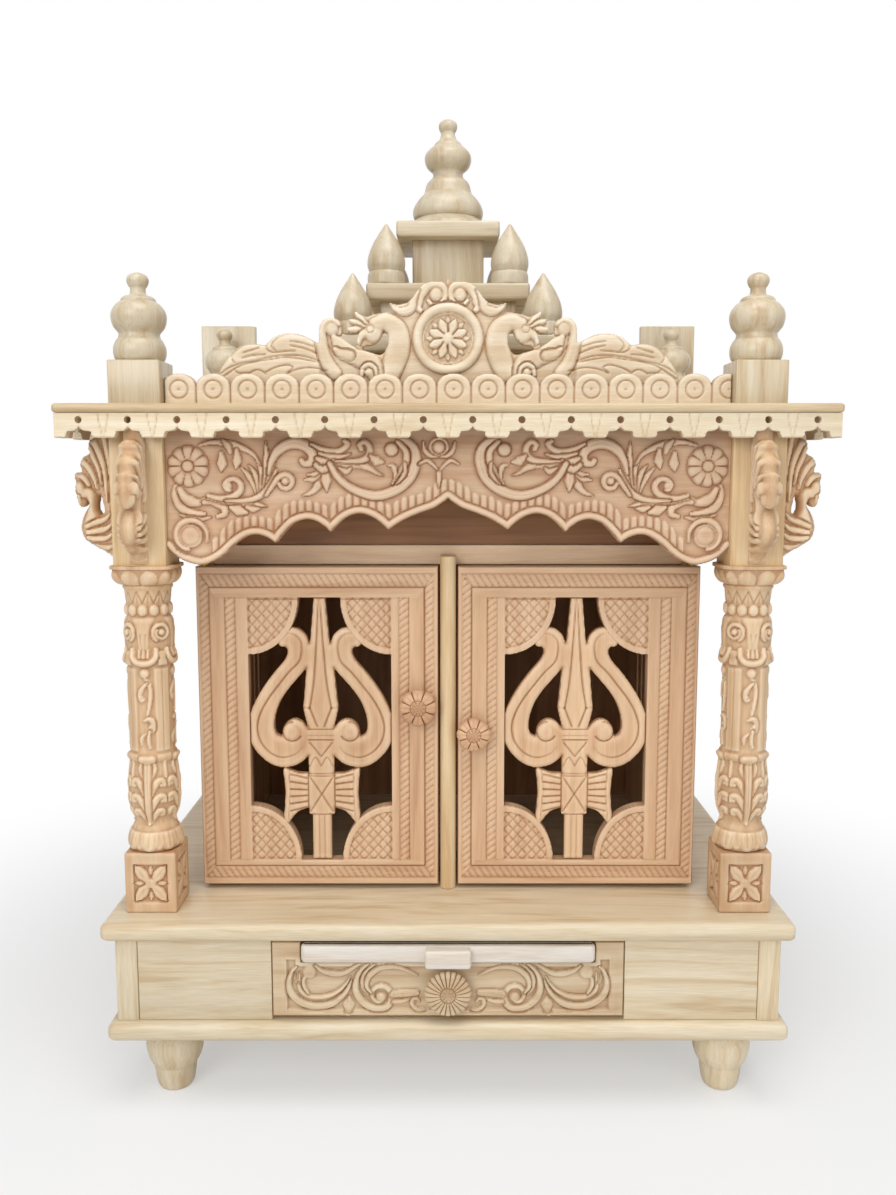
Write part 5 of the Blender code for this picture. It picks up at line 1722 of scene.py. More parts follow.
    def swags(self, face: Relief, part: float) -> None:
        """Hanging swag on each face and a tapered tab between two of them.

        Args:
            face: the height field.
            part: a quarter of the way round, in millimetres.
        """
        tab = (np.abs(np.abs(face.u) - part / 2) < 2.6 + 0.12 * (478.0 - face.w))
        tab &= (face.w > 463.5) & (face.w < 478.5)
        face.h = np.where(tab, np.maximum(face.h, 1.7), face.h)
        face.stroke(smooth_path(((-12.2, 480.0), (-11.4, 473.0), (-7.0, 467.8), (0.0, 466.0),
                                 (7.0, 467.8), (11.4, 473.0), (12.2, 480.0)), 6),
                    ((0, 2.6), (0.5, 3.6), (1, 2.6)), 3.0)
        for k in (-3.8, 0.0, 3.8):
            face.stroke([(k, 472.5), (k * 1.2, 480.0)], ((0, 1.5), (1, 1.6)), 1.9)

    def scrolls(self, face: Relief, part: float) -> None:
        """Smooth tongue between the volutes, the row of beads and the leaf band.

        Args:
            face: the height field.
            part: a quarter of the way round, in millimetres.
        """
        half = np.interp(face.w, (480.5, 490.0, 498.0, 505.0, 512.0), (4.8, 5.6, 6.6, 8.6, 13.0))
        q = np.clip(np.abs(face.u) / half, 0, 1)
        ends = ramp(face.w, 479.5, 1.5) * ramp(513.4, face.w, 2.0)
        face.h = np.maximum(face.h, 1.6 * np.sqrt(1 - q ** 4) * ends)
        for k in (-2.0, 2.0):
            face.cut([(k * 0.8, 480.5), (k * 1.2, 496.0)], 0.9, 1.0)
        pitch = part / 3
        x = (face.u / pitch + 0.5) % 1.0 - 0.5
        d = np.hypot(x * pitch / 5.8, (face.w - 520.2) / 6.0)
        bead = 3.2 * arc(d)
        face.h = np.maximum(face.h, np.where(face.w > 513.5, bead, face.h))
        x = (face.u / pitch) % 1.0 - 0.5
        rise = ramp(face.w, 527.5, 12.0)
        vee = np.abs(np.abs(x) * 2 - (1 - rise))
        band = (face.w > 527.0) & (face.w < 540.2)
        cuts = 1.5 * fade(vee, 0.20) + 0.8 * fade(np.abs(x), 0.07)
        face.h -= cuts * band

    def capital(self, cx: float, cy: float) -> Shell:
        """Capital that flares from round to square, with three arched petals to a side.

        Args:
            cx: axis in X, in millimetres.
            cy: axis in Y.
        Returns:
            The shell in metres.
        """
        z = np.concatenate([np.linspace(545.8, 562.0, 20), [562.3, 562.8, 565.0, 565.4, 565.6]])
        a = 2 * math.pi * np.arange(224) / 224
        square = (np.abs(np.cos(a)) ** 5 + np.abs(np.sin(a)) ** 5) ** -0.2
        rise = ramp(z, 545.8, 16.2)[:, None]
        mix = np.sqrt(1 - (1 - np.clip(rise * 1.45, 0, 1)) ** 2)
        body = 23.4 * (1 - mix) + (29.6 + 0.9 * rise) * square[None] * mix
        along = np.where(np.abs(np.cos(a)) > np.abs(np.sin(a)), np.tan(a), 1 / (np.tan(a) + 1e-9))
        x = (along * 1.5) % 1.0 - 0.5
        arch = (x[None] / 0.46) ** 2 + ((z[:, None] - 551.0) / 9.8) ** 2
        under = (z[:, None] < 551.0) * (x[None] / 0.46) ** 2
        inside = np.clip(1 - np.where(z[:, None] < 551.0, under, arch), 0, 1)
        h = 1.9 * np.sqrt(inside)
        lip = (z > 562.1)[:, None]
        h = np.where(lip, 0.0, h)
        body = np.where(lip, 32.6 * square[None], body)
        ease = np.array([0.0] * 20 + [0.0, 0.0, 0.0, 0.5, 1.2])[:, None]
        r = body + h - ease
        limit = 32.8 * square[None]
        # painted shade on the ground beside the arched petals, painted highlight on the petals
        hollow = np.where(lip, 0.0, 0.55 * (inside < 0.02))
        return lathe(cx * MM, cy * MM, z * MM, np.minimum(r, limit) * MM, hollow,
                     np.where(lip, 0, 0.4 * inside))


@dataclass
class Columns:
    """The two front columns and the plain square posts at the back."""

    def build(self, finish: Finishes) -> None:
        """Build the columns, then the rear posts.

        Args:
            finish: the finishes.
        """
        for side in ("left", "right"):
            Column(side).build(finish)
            lo, hi = box_of("rear_post_" + side)
            show("planed_rear_post_" + side, board(lo, hi, eased(hi[2] - lo[2], 0.0008), 0.0014),
                 finish.plain_z, ["rear_post_" + side])


@dataclass
class Brackets:
    """Pierced peacock brackets, carved on both cheeks, at the head of each front post."""

    outline: tuple[Point, ...] = (
        (0, 565.4), (1.7, 568.9), (5.8, 573), (12.8, 578), (23.5, 584), (32.2, 590), (36.2, 596.8),
        (37, 604), (35.8, 610), (31.8, 618.6), (28.5, 624.6), (29.5, 629.5), (31.4, 625.8),
        (35.8, 623.2), (38.5, 626.5), (40.2, 631.9), (41.7, 640.4), (41.1, 648.9), (42, 655),
        (39.8, 658), (34.9, 658.6), (35.8, 667), (31.9, 673.7), (26.3, 676.8), (27.2, 684),
        (25, 690), (17.1, 693.7), (12, 700), (9, 712), (8.8, 714.2), (0, 714.2))
    slot: tuple[Point, ...] = ((13.2, 618.0), (16.0, 615.8), (19.2, 620.0), (19.4, 628.0),
                               (17.0, 636.0), (14.4, 630.0))
    cheek: float = 8.6
    reach: float = 42.1
    foot: float = 565.4
    head: float = 714.2
    fringe_low: float = 689.3
    behind_fringe: float = 11.9
    step: float = 1.15
    feathers: tuple[Strand, ...] = (
        Strand(((11, 706), (9.4, 694), (7, 680), (4.6, 664), (3.6, 645), (3.6, 620)), ((0, 2.6),
            (0.5, 3), (1, 2)), 3, 0.7),
        Strand(((21, 690), (16, 680), (12, 668), (9.2, 650), (8.4, 630)), ((0, 3.6), (0.4, 3.2),
            (1, 1.4)), 3.2, 0.7),
        Strand(((24.6, 682), (20.4, 672), (15.6, 660), (13.4, 646)), ((0, 3), (0.4, 2.6), (1, 1.2)),
            3, 0.6),
        Strand(((32, 669), (26, 663), (20.4, 652), (18, 642)), ((0, 3.4), (0.4, 3), (1, 1.4)), 3.1,
            0.6),
        Strand(((38.6, 655.4), (31.4, 653), (26, 645)), ((0, 1.8), (0.5, 3), (1, 2)), 2.8, 0.5),
        Strand(((36, 644), (32.5, 638), (26, 637), (23.6, 628), (24, 616), (26, 603)), ((0, 5),
            (0.25, 5.2), (0.6, 4.6), (1, 8.2)), 3.7),
        Strand(((37.4, 634), (36.4, 627.5)), ((0, 2.6), (1, 1.2)), 2.6),
        Strand(((30, 604), (21, 608), (11, 611.5), (6, 617)), ((0, 2.4), (0.5, 3.2), (1, 1.4)), 3.3,
            0.6),
        Strand(((29, 598), (20, 599.6), (10, 602), (4, 607)), ((0, 2.6), (0.5, 3.3), (1, 1.6)), 3.4,
            0.6),
        Strand(((29, 592.5), (20, 591.6), (10, 592.6), (3.6, 597)), ((0, 2.4), (0.5, 3.2),
            (1, 1.6)), 3.2, 0.6),
        Strand(((22, 585), (13, 582.4), (5, 584), (2.4, 588)), ((0, 2), (0.5, 2.9), (1, 1.6)), 3,
            0.6),
        Strand(((12, 577), (5, 573), (1.5, 572)), ((0, 1.8), (0.5, 2.4), (1, 1.2)), 2.6))

    def cheeks(self, clipped: bool) -> Shell:
        """One bracket that reaches along +X from x = 0, its middle plane at y = 0.

        Args:
            clipped: keep its head behind the fringe.
        Returns:
            The closed, pierced shell.
        """
        loop = smooth_path(self.outline, 4)
        loop[:, 0] = np.clip(loop[:, 0], 0.0, self.reach)
        loop[:, 1] = np.clip(loop[:, 1], self.foot, self.head)
        if clipped:
            high = loop[:, 1] > self.fringe_low
            loop[high, 0] = np.minimum(loop[high, 0], self.behind_fringe)
        slot = smooth_path(self.slot + self.slot[:1], 5)[:-1]
        face = Relief((0.0, self.reach + 0.1), (self.foot, self.head + 0.1), self.step)
        away, _, _ = to_outline(face.u, face.w, [loop, slot])
        for strand in self.feathers:
            strand.draw(face, 0.0, 0.9)
        face.dome(34.8, 640.5, 1.6, 4.6)
        face.ring(34.8, 640.5, 3.0, 0.7, 4.4)
        face.h *= np.clip(-away / (7.0 if clipped else 3.5), 0, 1)
        # painted shade and highlight from the carving alone, so that the rim's rounding adds none
        face.kept = face.shades()
        near = np.where(face.u < 2.0, -9.0, away)
        face.roll(near, 8.3 if clipped else 6.5)
        return carved(face, [loop, slot], 2 * self.cheek, True).moved((0, -self.cheek * MM, 0))

    def build(self, finish: Finishes) -> None:
        """Build the four brackets.

        Args:
            finish: the finishes.
        """
        side_piece, front_piece = self.cheeks(False), self.cheeks(True)
        for side, sx in (("left", -1), ("right", 1)):
            lo, hi = box_of("peacock_side_" + side)
            mid_y = (lo[1] + hi[1]) / 2
            piece = side_piece if sx > 0 else side_piece.mirrored()
            root = lo[0] if sx > 0 else hi[0]
            show("peacock_bracket_side_" + side, piece.moved((root, mid_y, 0)), finish.column,
                 ["peacock_side_" + side], sharp=50.0)
            lo, hi = box_of("peacock_front_" + side)
            piece = turned_round(front_piece, -90.0)
            show("peacock_bracket_front_" + side,
                 piece.moved(((lo[0] + hi[0]) / 2, hi[1], 0)), finish.column,
                 ["peacock_front_" + side], sharp=50.0)


@dataclass
class Cabinet:
    """Walls, back, rail, upper board, mullion and brass pivots of the shrine chamber."""

    def build(self, finish: Finishes) -> None:
        """Dress the CAD boards that stay and build the mullion.

        Args:
            finish: the finishes.
        """
        for name in ("cabinet_side_left", "cabinet_side_right"):
            dress(name, finish.door_z)
        dress("cabinet_back", finish.inside)
        dress("cabinet_rail", finish.rail)
        dress("cabinet_upper_board", finish.shaded)
        for name in ("pivot_upper_left", "pivot_upper_right"):
            dress(name, finish.brass)
        lo, hi = box_of("centre_mullion")
        half = hi[0]
        a = np.linspace(math.pi, 2 * math.pi, 22)
        flat = lo[1] + half
        plan = np.stack([half * np.cos(a), flat + half * np.sin(a)], 1)
        plan = np.vstack([plan, [(half, hi[1]), (-half, hi[1])]])
        rings = []
        centre = np.array([0.0, (lo[1] + hi[1]) / 2])
        for z, inset in ((lo[2], 0.0006), (lo[2] + 0.0005, 0.0), (hi[2] - 0.0012, 0.0),
                         (hi[2], 0.0012)):
            ring = centre + (plan - centre) * (1 - inset / half)
            rings.append(np.column_stack([ring, np.full(len(ring), z)]))
        show("half_round_mullion", stacked(np.array(rings)), finish.plain_z, ["centre_mullion"],
             sharp=45.0)


@dataclass
class Door:
    """Pierced door: roped frame with latticed corners, trident fret and flower knob."""

    side: str
    knob_x: float
    knob_z: float
    knob_r: float
    step: float = 1.3
    front: float = -157.0
    fret_front: float = -153.2
    rope_depth: float = 1.5
    # distance of each rope from the door's edge, and its width: those round the frame, then
    # those beside the window
    rope_in: Point = (4.2, 10.4)
    rope_out: Point = (3.0, 10.5)
    rope_top: Point = (7.8, 14.7)
    rope_low: Point = (7.0, 14.0)
    stile_in: Point = (30.8, 10.8)
    stile_out: Point = (29.5, 11.5)
    corner: Point = (54.0, 61.0)
    pitch: float = 7.4
    fret_half: float = 76.2
    unit: float = 0.187
    drawn: tuple[int, int] = (35, 1550)
    arm: tuple[Point, ...] = (
        (0, 35), (32, 35), (46, 190), (58, 292), (78, 248), (118, 212), (162, 203), (204, 218),
        (234, 250), (240, 284), (226, 308), (192, 316), (186, 350), (206, 392), (269, 465),
        (331, 550), (383, 640), (414, 728), (416, 800), (402, 868), (361, 932), (302, 983),
        (233, 1008), (162, 1000), (112, 975), (74, 940), (72, 1045), (143, 1040), (218, 1015),
        (214, 1100), (212, 1180), (222, 1300), (215, 1345), (192, 1330), (142, 1270), (73, 1245),
        (73, 1285), (54, 1287), (54, 1550), (0, 1550))
    hole: tuple[Point, ...] = (
        (79, 432), (120, 480), (181, 550), (229, 620), (261, 700), (268, 770), (257, 812),
        (228, 828), (222, 800), (214, 770), (187, 740), (147, 728), (107, 745), (76, 778),
        (88, 722), (98, 678), (101, 662), (98, 640), (89, 545))
    groove: tuple[Point, ...] = (
        (222, 246), (160, 236), (112, 272), (104, 330), (120, 396), (180, 458), (240, 532),
        (300, 610), (345, 690), (366, 770), (352, 850), (300, 918), (226, 950), (150, 932),
        (108, 890))

    def build(self, finish: Finishes) -> None:
        """Build the frame, the fret and the knob on the door's own body.

        Args:
            finish: the finishes.
        """
        body = "door_" + self.side
        sign = 1 if self.side == "right" else -1
        frame_shell = self.frame(sign)
        fret_shell = self.fret()
        if sign < 0:
            frame_shell, fret_shell = frame_shell.mirrored(), fret_shell.mirrored()
        obj = show("pierced_frame_" + self.side, frame_shell, finish.door_z,
                   ["door_frame_" + self.side], body)
        self.add_rails(obj, finish.door_x, sign)
        show("trident_fret_" + self.side, fret_shell, finish.fret, ["door_fret_" + self.side], body)
        show("flower_knob_" + self.side,
             flower_knob(self.knob_x, self.front, self.knob_z, self.knob_r, 20.1, 8, 0.40, 3.4,
                         True),
             finish.knob, ["door_knob_" + self.side], body, sharp=60.0)

    def spans(self) -> tuple[float, ...]:
        """Edges of the right door and of its window.

        Returns:
            x0, x1, z0, z1 of the door, then the same for the window.
        """
        lo, hi = box_of("door_frame_right")
        x0, x1, z0, z1 = lo[0] / MM, hi[0] / MM, 210.0, hi[2] / MM
        return x0 - 2.8, x1, z0, z1, x0 + 47.2, x1 - 53.7, z0 + 27.5, z1 - 33.5

    def add_rails(self, obj: bpy.types.Object, mat: bpy.types.Material, sign: int) -> None:
        """Give the mitred head and sill of the frame their own grain.

        Args:
            obj: the door frame.
            mat: finish with the grain along X.
            sign: 1 for the right door, -1 for the left one.
        """
        x0, x1, z0, z1, _, _, wz0, wz1 = self.spans()
        (ia, ib), (oa, ob), (ta, tb), (la, lb) = (self.rope_in, self.rope_out, self.rope_top,
                                                  self.rope_low)
        mesh = obj.data
        mesh.materials.append(mat)
        centre = np.zeros(3 * len(mesh.polygons))
        mesh.polygons.foreach_get("center", centre)
        u = centre[0::3] / MM * sign
        w = centre[2::3] / MM
        side = np.minimum((u - x0) / (ia + ib), (x1 - u) / (oa + ob))
        level = np.minimum((z1 - w) / (ta + tb), (w - z0) / (la + lb))
        rail = (level < side) & ((w > wz1) | (w < wz0))
        mesh.polygons.foreach_set("material_index", rail.astype(np.int32))

    def rope(self, face: Relief, across: Array, along: Array, where: Array, slope: float) -> None:
        """Twisted rope: strands of rounded section that slant over a sunk band.

        Args:
            face: the height field.
            across: position over the band, from 0 to 1.
            along: position along it, in millimetres.
            where: the part of the grid that it covers.
            slope: shift of a strand along the band from one border to the other.
        """
        band = where & (across >= 0) & (across <= 1)
        f = ((along - slope * (across - 0.5)) / self.pitch) % 1.0
        back = arc(np.abs(1.04 - 2 * f), 2.6)
        edge = arc(np.abs(2 * across - 1), 5)
        low = -self.rope_depth * (1 - back * edge)
        face.h = np.where(band, np.minimum(face.h, low), face.h)

    def frame(self, sign: int) -> Shell:
        """Frame of the right door; the sign keeps the twist the same way on both doors.

        Args:
            sign: 1 for the right door, -1 for the left one.
        Returns:
            The shell in metres.
        """
        x0, x1, z0, z1, wx0, wx1, wz0, wz1 = self.spans()
        face = Relief((x0, x1), (z0, z1), self.step)
        face.tint = 0.75
        u, w = face.u, face.w
        inner, outer, top, low = u - x0, x1 - u, z1 - w, w - z0
        (ia, ib), (oa, ob), (ta, tb), (la, lb) = (self.rope_in, self.rope_out, self.rope_top,
                                                  self.rope_low)
        ti, to, tt, tl = (inner - ia) / ib, (outer - oa) / ob, (top - ta) / tb, (low - la) / lb
        for t, across in ((ti, ti), (to, 1 - to)):
            self.rope(face, across, w, (top > ta + tb * t) & (low > la + lb * t), sign * 8.0)
        for t, across in ((tt, 1 - tt), (tl, tl)):
            self.rope(face, across, u * sign, (inner > ia + ib * t) & (outer > oa + ob * t), -9.0)
        (sa, sb), (ra, rb) = self.stile_in, self.stile_out
        for across in ((inner - sa) / sb, 1 - (outer - ra) / rb):
            self.rope(face, across, w, (w > wz0) & (w < wz1), sign * 8.0)
        for a, b, c, d in ((ia, oa, ta, la), (ia + ib, oa + ob, ta + tb, la + lb)):
            face.cut([(x0 + a, z0 + d), (x1 - b, z0 + d), (x1 - b, z1 - c), (x0 + a, z1 - c),
                      (x0 + a, z0 + d)], 1.0, 0.9)
        for cu, cw, du, dw in ((x0 + ia, z1 - ta, ib, -tb), (x1 - oa, z1 - ta, -ob, -tb),
                               (x0 + ia, z0 + la, ib, lb), (x1 - oa, z0 + la, -ob, lb)):
            face.cut([(cu, cw), (cu + du, cw + dw)], 0.9, 0.7)
        for line in (x0 + sa, x0 + sa + sb, x1 - ra - rb, x1 - ra):
            face.cut([(line, wz0), (line, wz1)], 0.9, 0.8)
        for line in (wz0, wz1):
            face.cut([(x0 + sa, line), (x1 - ra, line)], 0.9, 0.6)
        self.corners(face, wx0, wx1, wz0, wz1)
        rim = np.array([(x0, z0), (x1, z0), (x1, z1), (x0, z1)])
        opening = []
        for cx, cz, start in ((wx0, wz0, 90), (wx1, wz0, 180), (wx1, wz1, 270), (wx0, wz1, 360)):
            a = np.radians(np.linspace(start, start - 90, 22))
            opening.append(np.stack([cx + self.corner[0] * np.cos(a),
                                     cz + self.corner[1] * np.sin(a)], 1))
        loops = [rim, np.vstack(opening)]
        away, _, _ = to_outline(u, w, loops)
        face.roll(away, 1.3)
        return carved(face, loops, 15.0).moved((0, self.front * MM, 0))

    def corners(self, face: Relief, x0: float, x1: float, z0: float, z1: float) -> None:
        """Quarter rounds of the window: plain rim, incised line and crossed lattice.

        Args:
            face: the height field.
            x0: inner edge of the window.
            x1: outer edge of the window.
            z0: lower edge of the window.
            z1: upper edge of the window.
        """
        u, w = face.u, face.w
        window = (u > x0) & (u < x1) & (w > z0) & (w < z1)
        for cx in (x0, x1):
            for cz in (z0, z1):
                q = np.hypot((u - cx) / self.corner[0], (w - cz) / self.corner[1])
                here = window & (q < 1.02)
                field_ = here & (q < 0.885)
                depth = np.clip((0.885 - q) * 30, 0, 1) * 0.5
                lattice = np.zeros(u.shape)
                for s in ((u - cx) * 0.80 + (w - cz) * 0.72, (u - cx) * 0.80 - (w - cz) * 0.72):
                    d = np.abs((s / 8.2 + 0.5) % 1.0 - 0.5) * 8.2
                    lattice = np.maximum(lattice, fade(d, 1.15))
                edge = fade(np.abs(q - 0.875) * 57, 1.1)
                face.h = np.where(field_, face.h - depth - 1.35 * lattice, face.h)
                face.h = np.where(here, face.h - 1.1 * edge, face.h)
                sides = np.minimum(np.abs(u - cx), np.abs(w - cz))
                face.h = np.where(here, face.h - 1.0 * fade(np.abs(sides - 1.6), 1.1), face.h)

    def fret(self) -> Shell:
        """Trident between two volutes, pillowed, grooved and faceted.

        Returns:
            The shell in metres.
        """
        wx0, wx1, wz0, wz1 = self.spans()[4:]
        mid = (wx0 + wx1) / 2
        tall = wz1 - wz0 - 0.6

        def place(points: Sequence[Point]) -> Array:
            """Turn drawing units from the centre and down from the head into millimetres.

            Args:
                points: the points in drawing units.
            Returns:
                The points in millimetres.
            """
            p = np.array(points, float)
            head, foot = self.drawn
            return np.stack([p[:, 0] * self.unit,
                             wz0 + 0.3 + (foot - p[:, 1]) / (foot - head) * tall], 1)

        half = place(self.arm)
        soft = np.vstack([half[:2], smooth_path(half[2:26], 4), smooth_path(half[26:36], 3),
                          half[36:]])
        soft[:, 0] = np.clip(soft[:, 0], 0, self.fret_half)
        outline = both_ways(soft)
        hole = smooth_path(np.vstack([place(self.hole), place(self.hole)[:1]]), 4)[:-1]
        other = hole * np.array([-1.0, 1.0])
        reach = self.fret_half + 0.1
        face = Relief((-reach, reach), (wz0 + 0.3, wz0 + 0.3 + tall), 1.15)
        face.tint = 0.75
        loops = [outline, hole, other]
        away, _, _ = to_outline(face.u, face.w, loops)
        t = np.clip(-away / 6.2, 0, 1)
        face.h = 2.9 * arc(1 - t)
        boss = place([(167, 800)])[0]
        face.dome(boss[0], boss[1], 9.6, 3.2, 0.6, 3.0)
        face.cut([(boss[0] + 10.4 * math.cos(a), boss[1] + 10.4 * math.sin(a))
                  for a in np.radians(np.linspace(-150, 95, 20))], 1.4, 2.0)
        face.cut(smooth_path(place(self.groove), 5), 1.5, 2.0, True)
        self.shaft(face, place)
        face.mirror()
        shell = carved(face, loops, 6.4)
        return shell.moved((mid * MM, self.fret_front * MM, 0))

    def shaft(self, face: Relief, place: Callable[[Sequence[Point]], Array]) -> None:
        """Facets, collars, crossed boxes and the ribbed drum of the trident's shaft.

        Args:
            face: the height field.
            place: turns drawing units into millimetres.
        """
        for line, width, depth in (
                (((4, 45), (22, 330), (38, 520), (58, 640), (62, 664)), 1.5, 1.8),
                (((62, 664), (20, 770)), 1.5, 1.8), (((98, 662), (62, 664)), 1.2, 1.2),
                (((0, 785), (74, 785)), 1.0, 1.5),
                (((0, 825), (72, 825)), 0.9, 1.1), (((0, 847), (72, 847)), 1.0, 1.4),
                (((0, 945), (66, 862)), 1.2, 1.6), (((0, 1000), (34, 950), (70, 1005)), 1.1, 1.4),
                (((0, 1045), (74, 1045)), 1.0, 1.6), (((0, 1058), (74, 1058)), 1.0, 1.4),
                (((0, 1165), (66, 1066)), 1.3, 1.7), (((0, 1165), (66, 1268)), 1.3, 1.7),
                (((0, 1284), (74, 1284)), 1.0, 1.4), (((17, 1290), (17, 1545)), 1.0, 1.2),
                (((76, 1050), (76, 1240)), 1.1, 1.8), (((190, 1022), (184, 1150), (196, 1322)), 1.0,
                                                      1.3)):
            face.cut(smooth_path(place(line), 6), width, depth)
        for k in range(6):
            y = 1072 + 34 * k
            face.cut(place([(84, y), (180, y + (k - 2.5) * 9)]), 1.5, 2.2)


@dataclass
class Doors:
    """The pair of doors, whose knobs stand at different heights as on the real one."""

    def build(self, finish: Finishes) -> None:
        """Build both doors."""
        Door("left", -31.8, 409.9, 20.15).build(finish)
        Door("right", 27.45, 380.9, 18.3).build(finish)


@dataclass
class Tray:
    """Pull-out tray over the drawer: rounded lip with a tab, board and rails."""

    tab_half: float = 23.5

    def build(self, finish: Finishes) -> None:
        """Build the lip and dress the board and the rails.

        Args:
            finish: the finishes.
        """
        lo, hi = box_of("tray_lip")
        lip = board((lo[0], lo[1] + 0.010, lo[2] + 0.002), (hi[0], hi[1], hi[2]),
                    bullnose(0.0026, 0.55), 0.0055)
        t = self.tab_half * MM
        tab = board((-t, lo[1], lo[2]), (t, lo[1] + 0.014, hi[2] - 0.0015), bullnose(0.0024, 0.6),
                    0.0032)
        show("tray_lip_and_tab", joined([lip, tab]), finish.tray, ["tray_lip"], "tray", sharp=50.0)
        dress("tray_board", finish.plain_x)
        for name in ("tray_rail_left", "tray_rail_right"):
            dress(name, finish.inside)


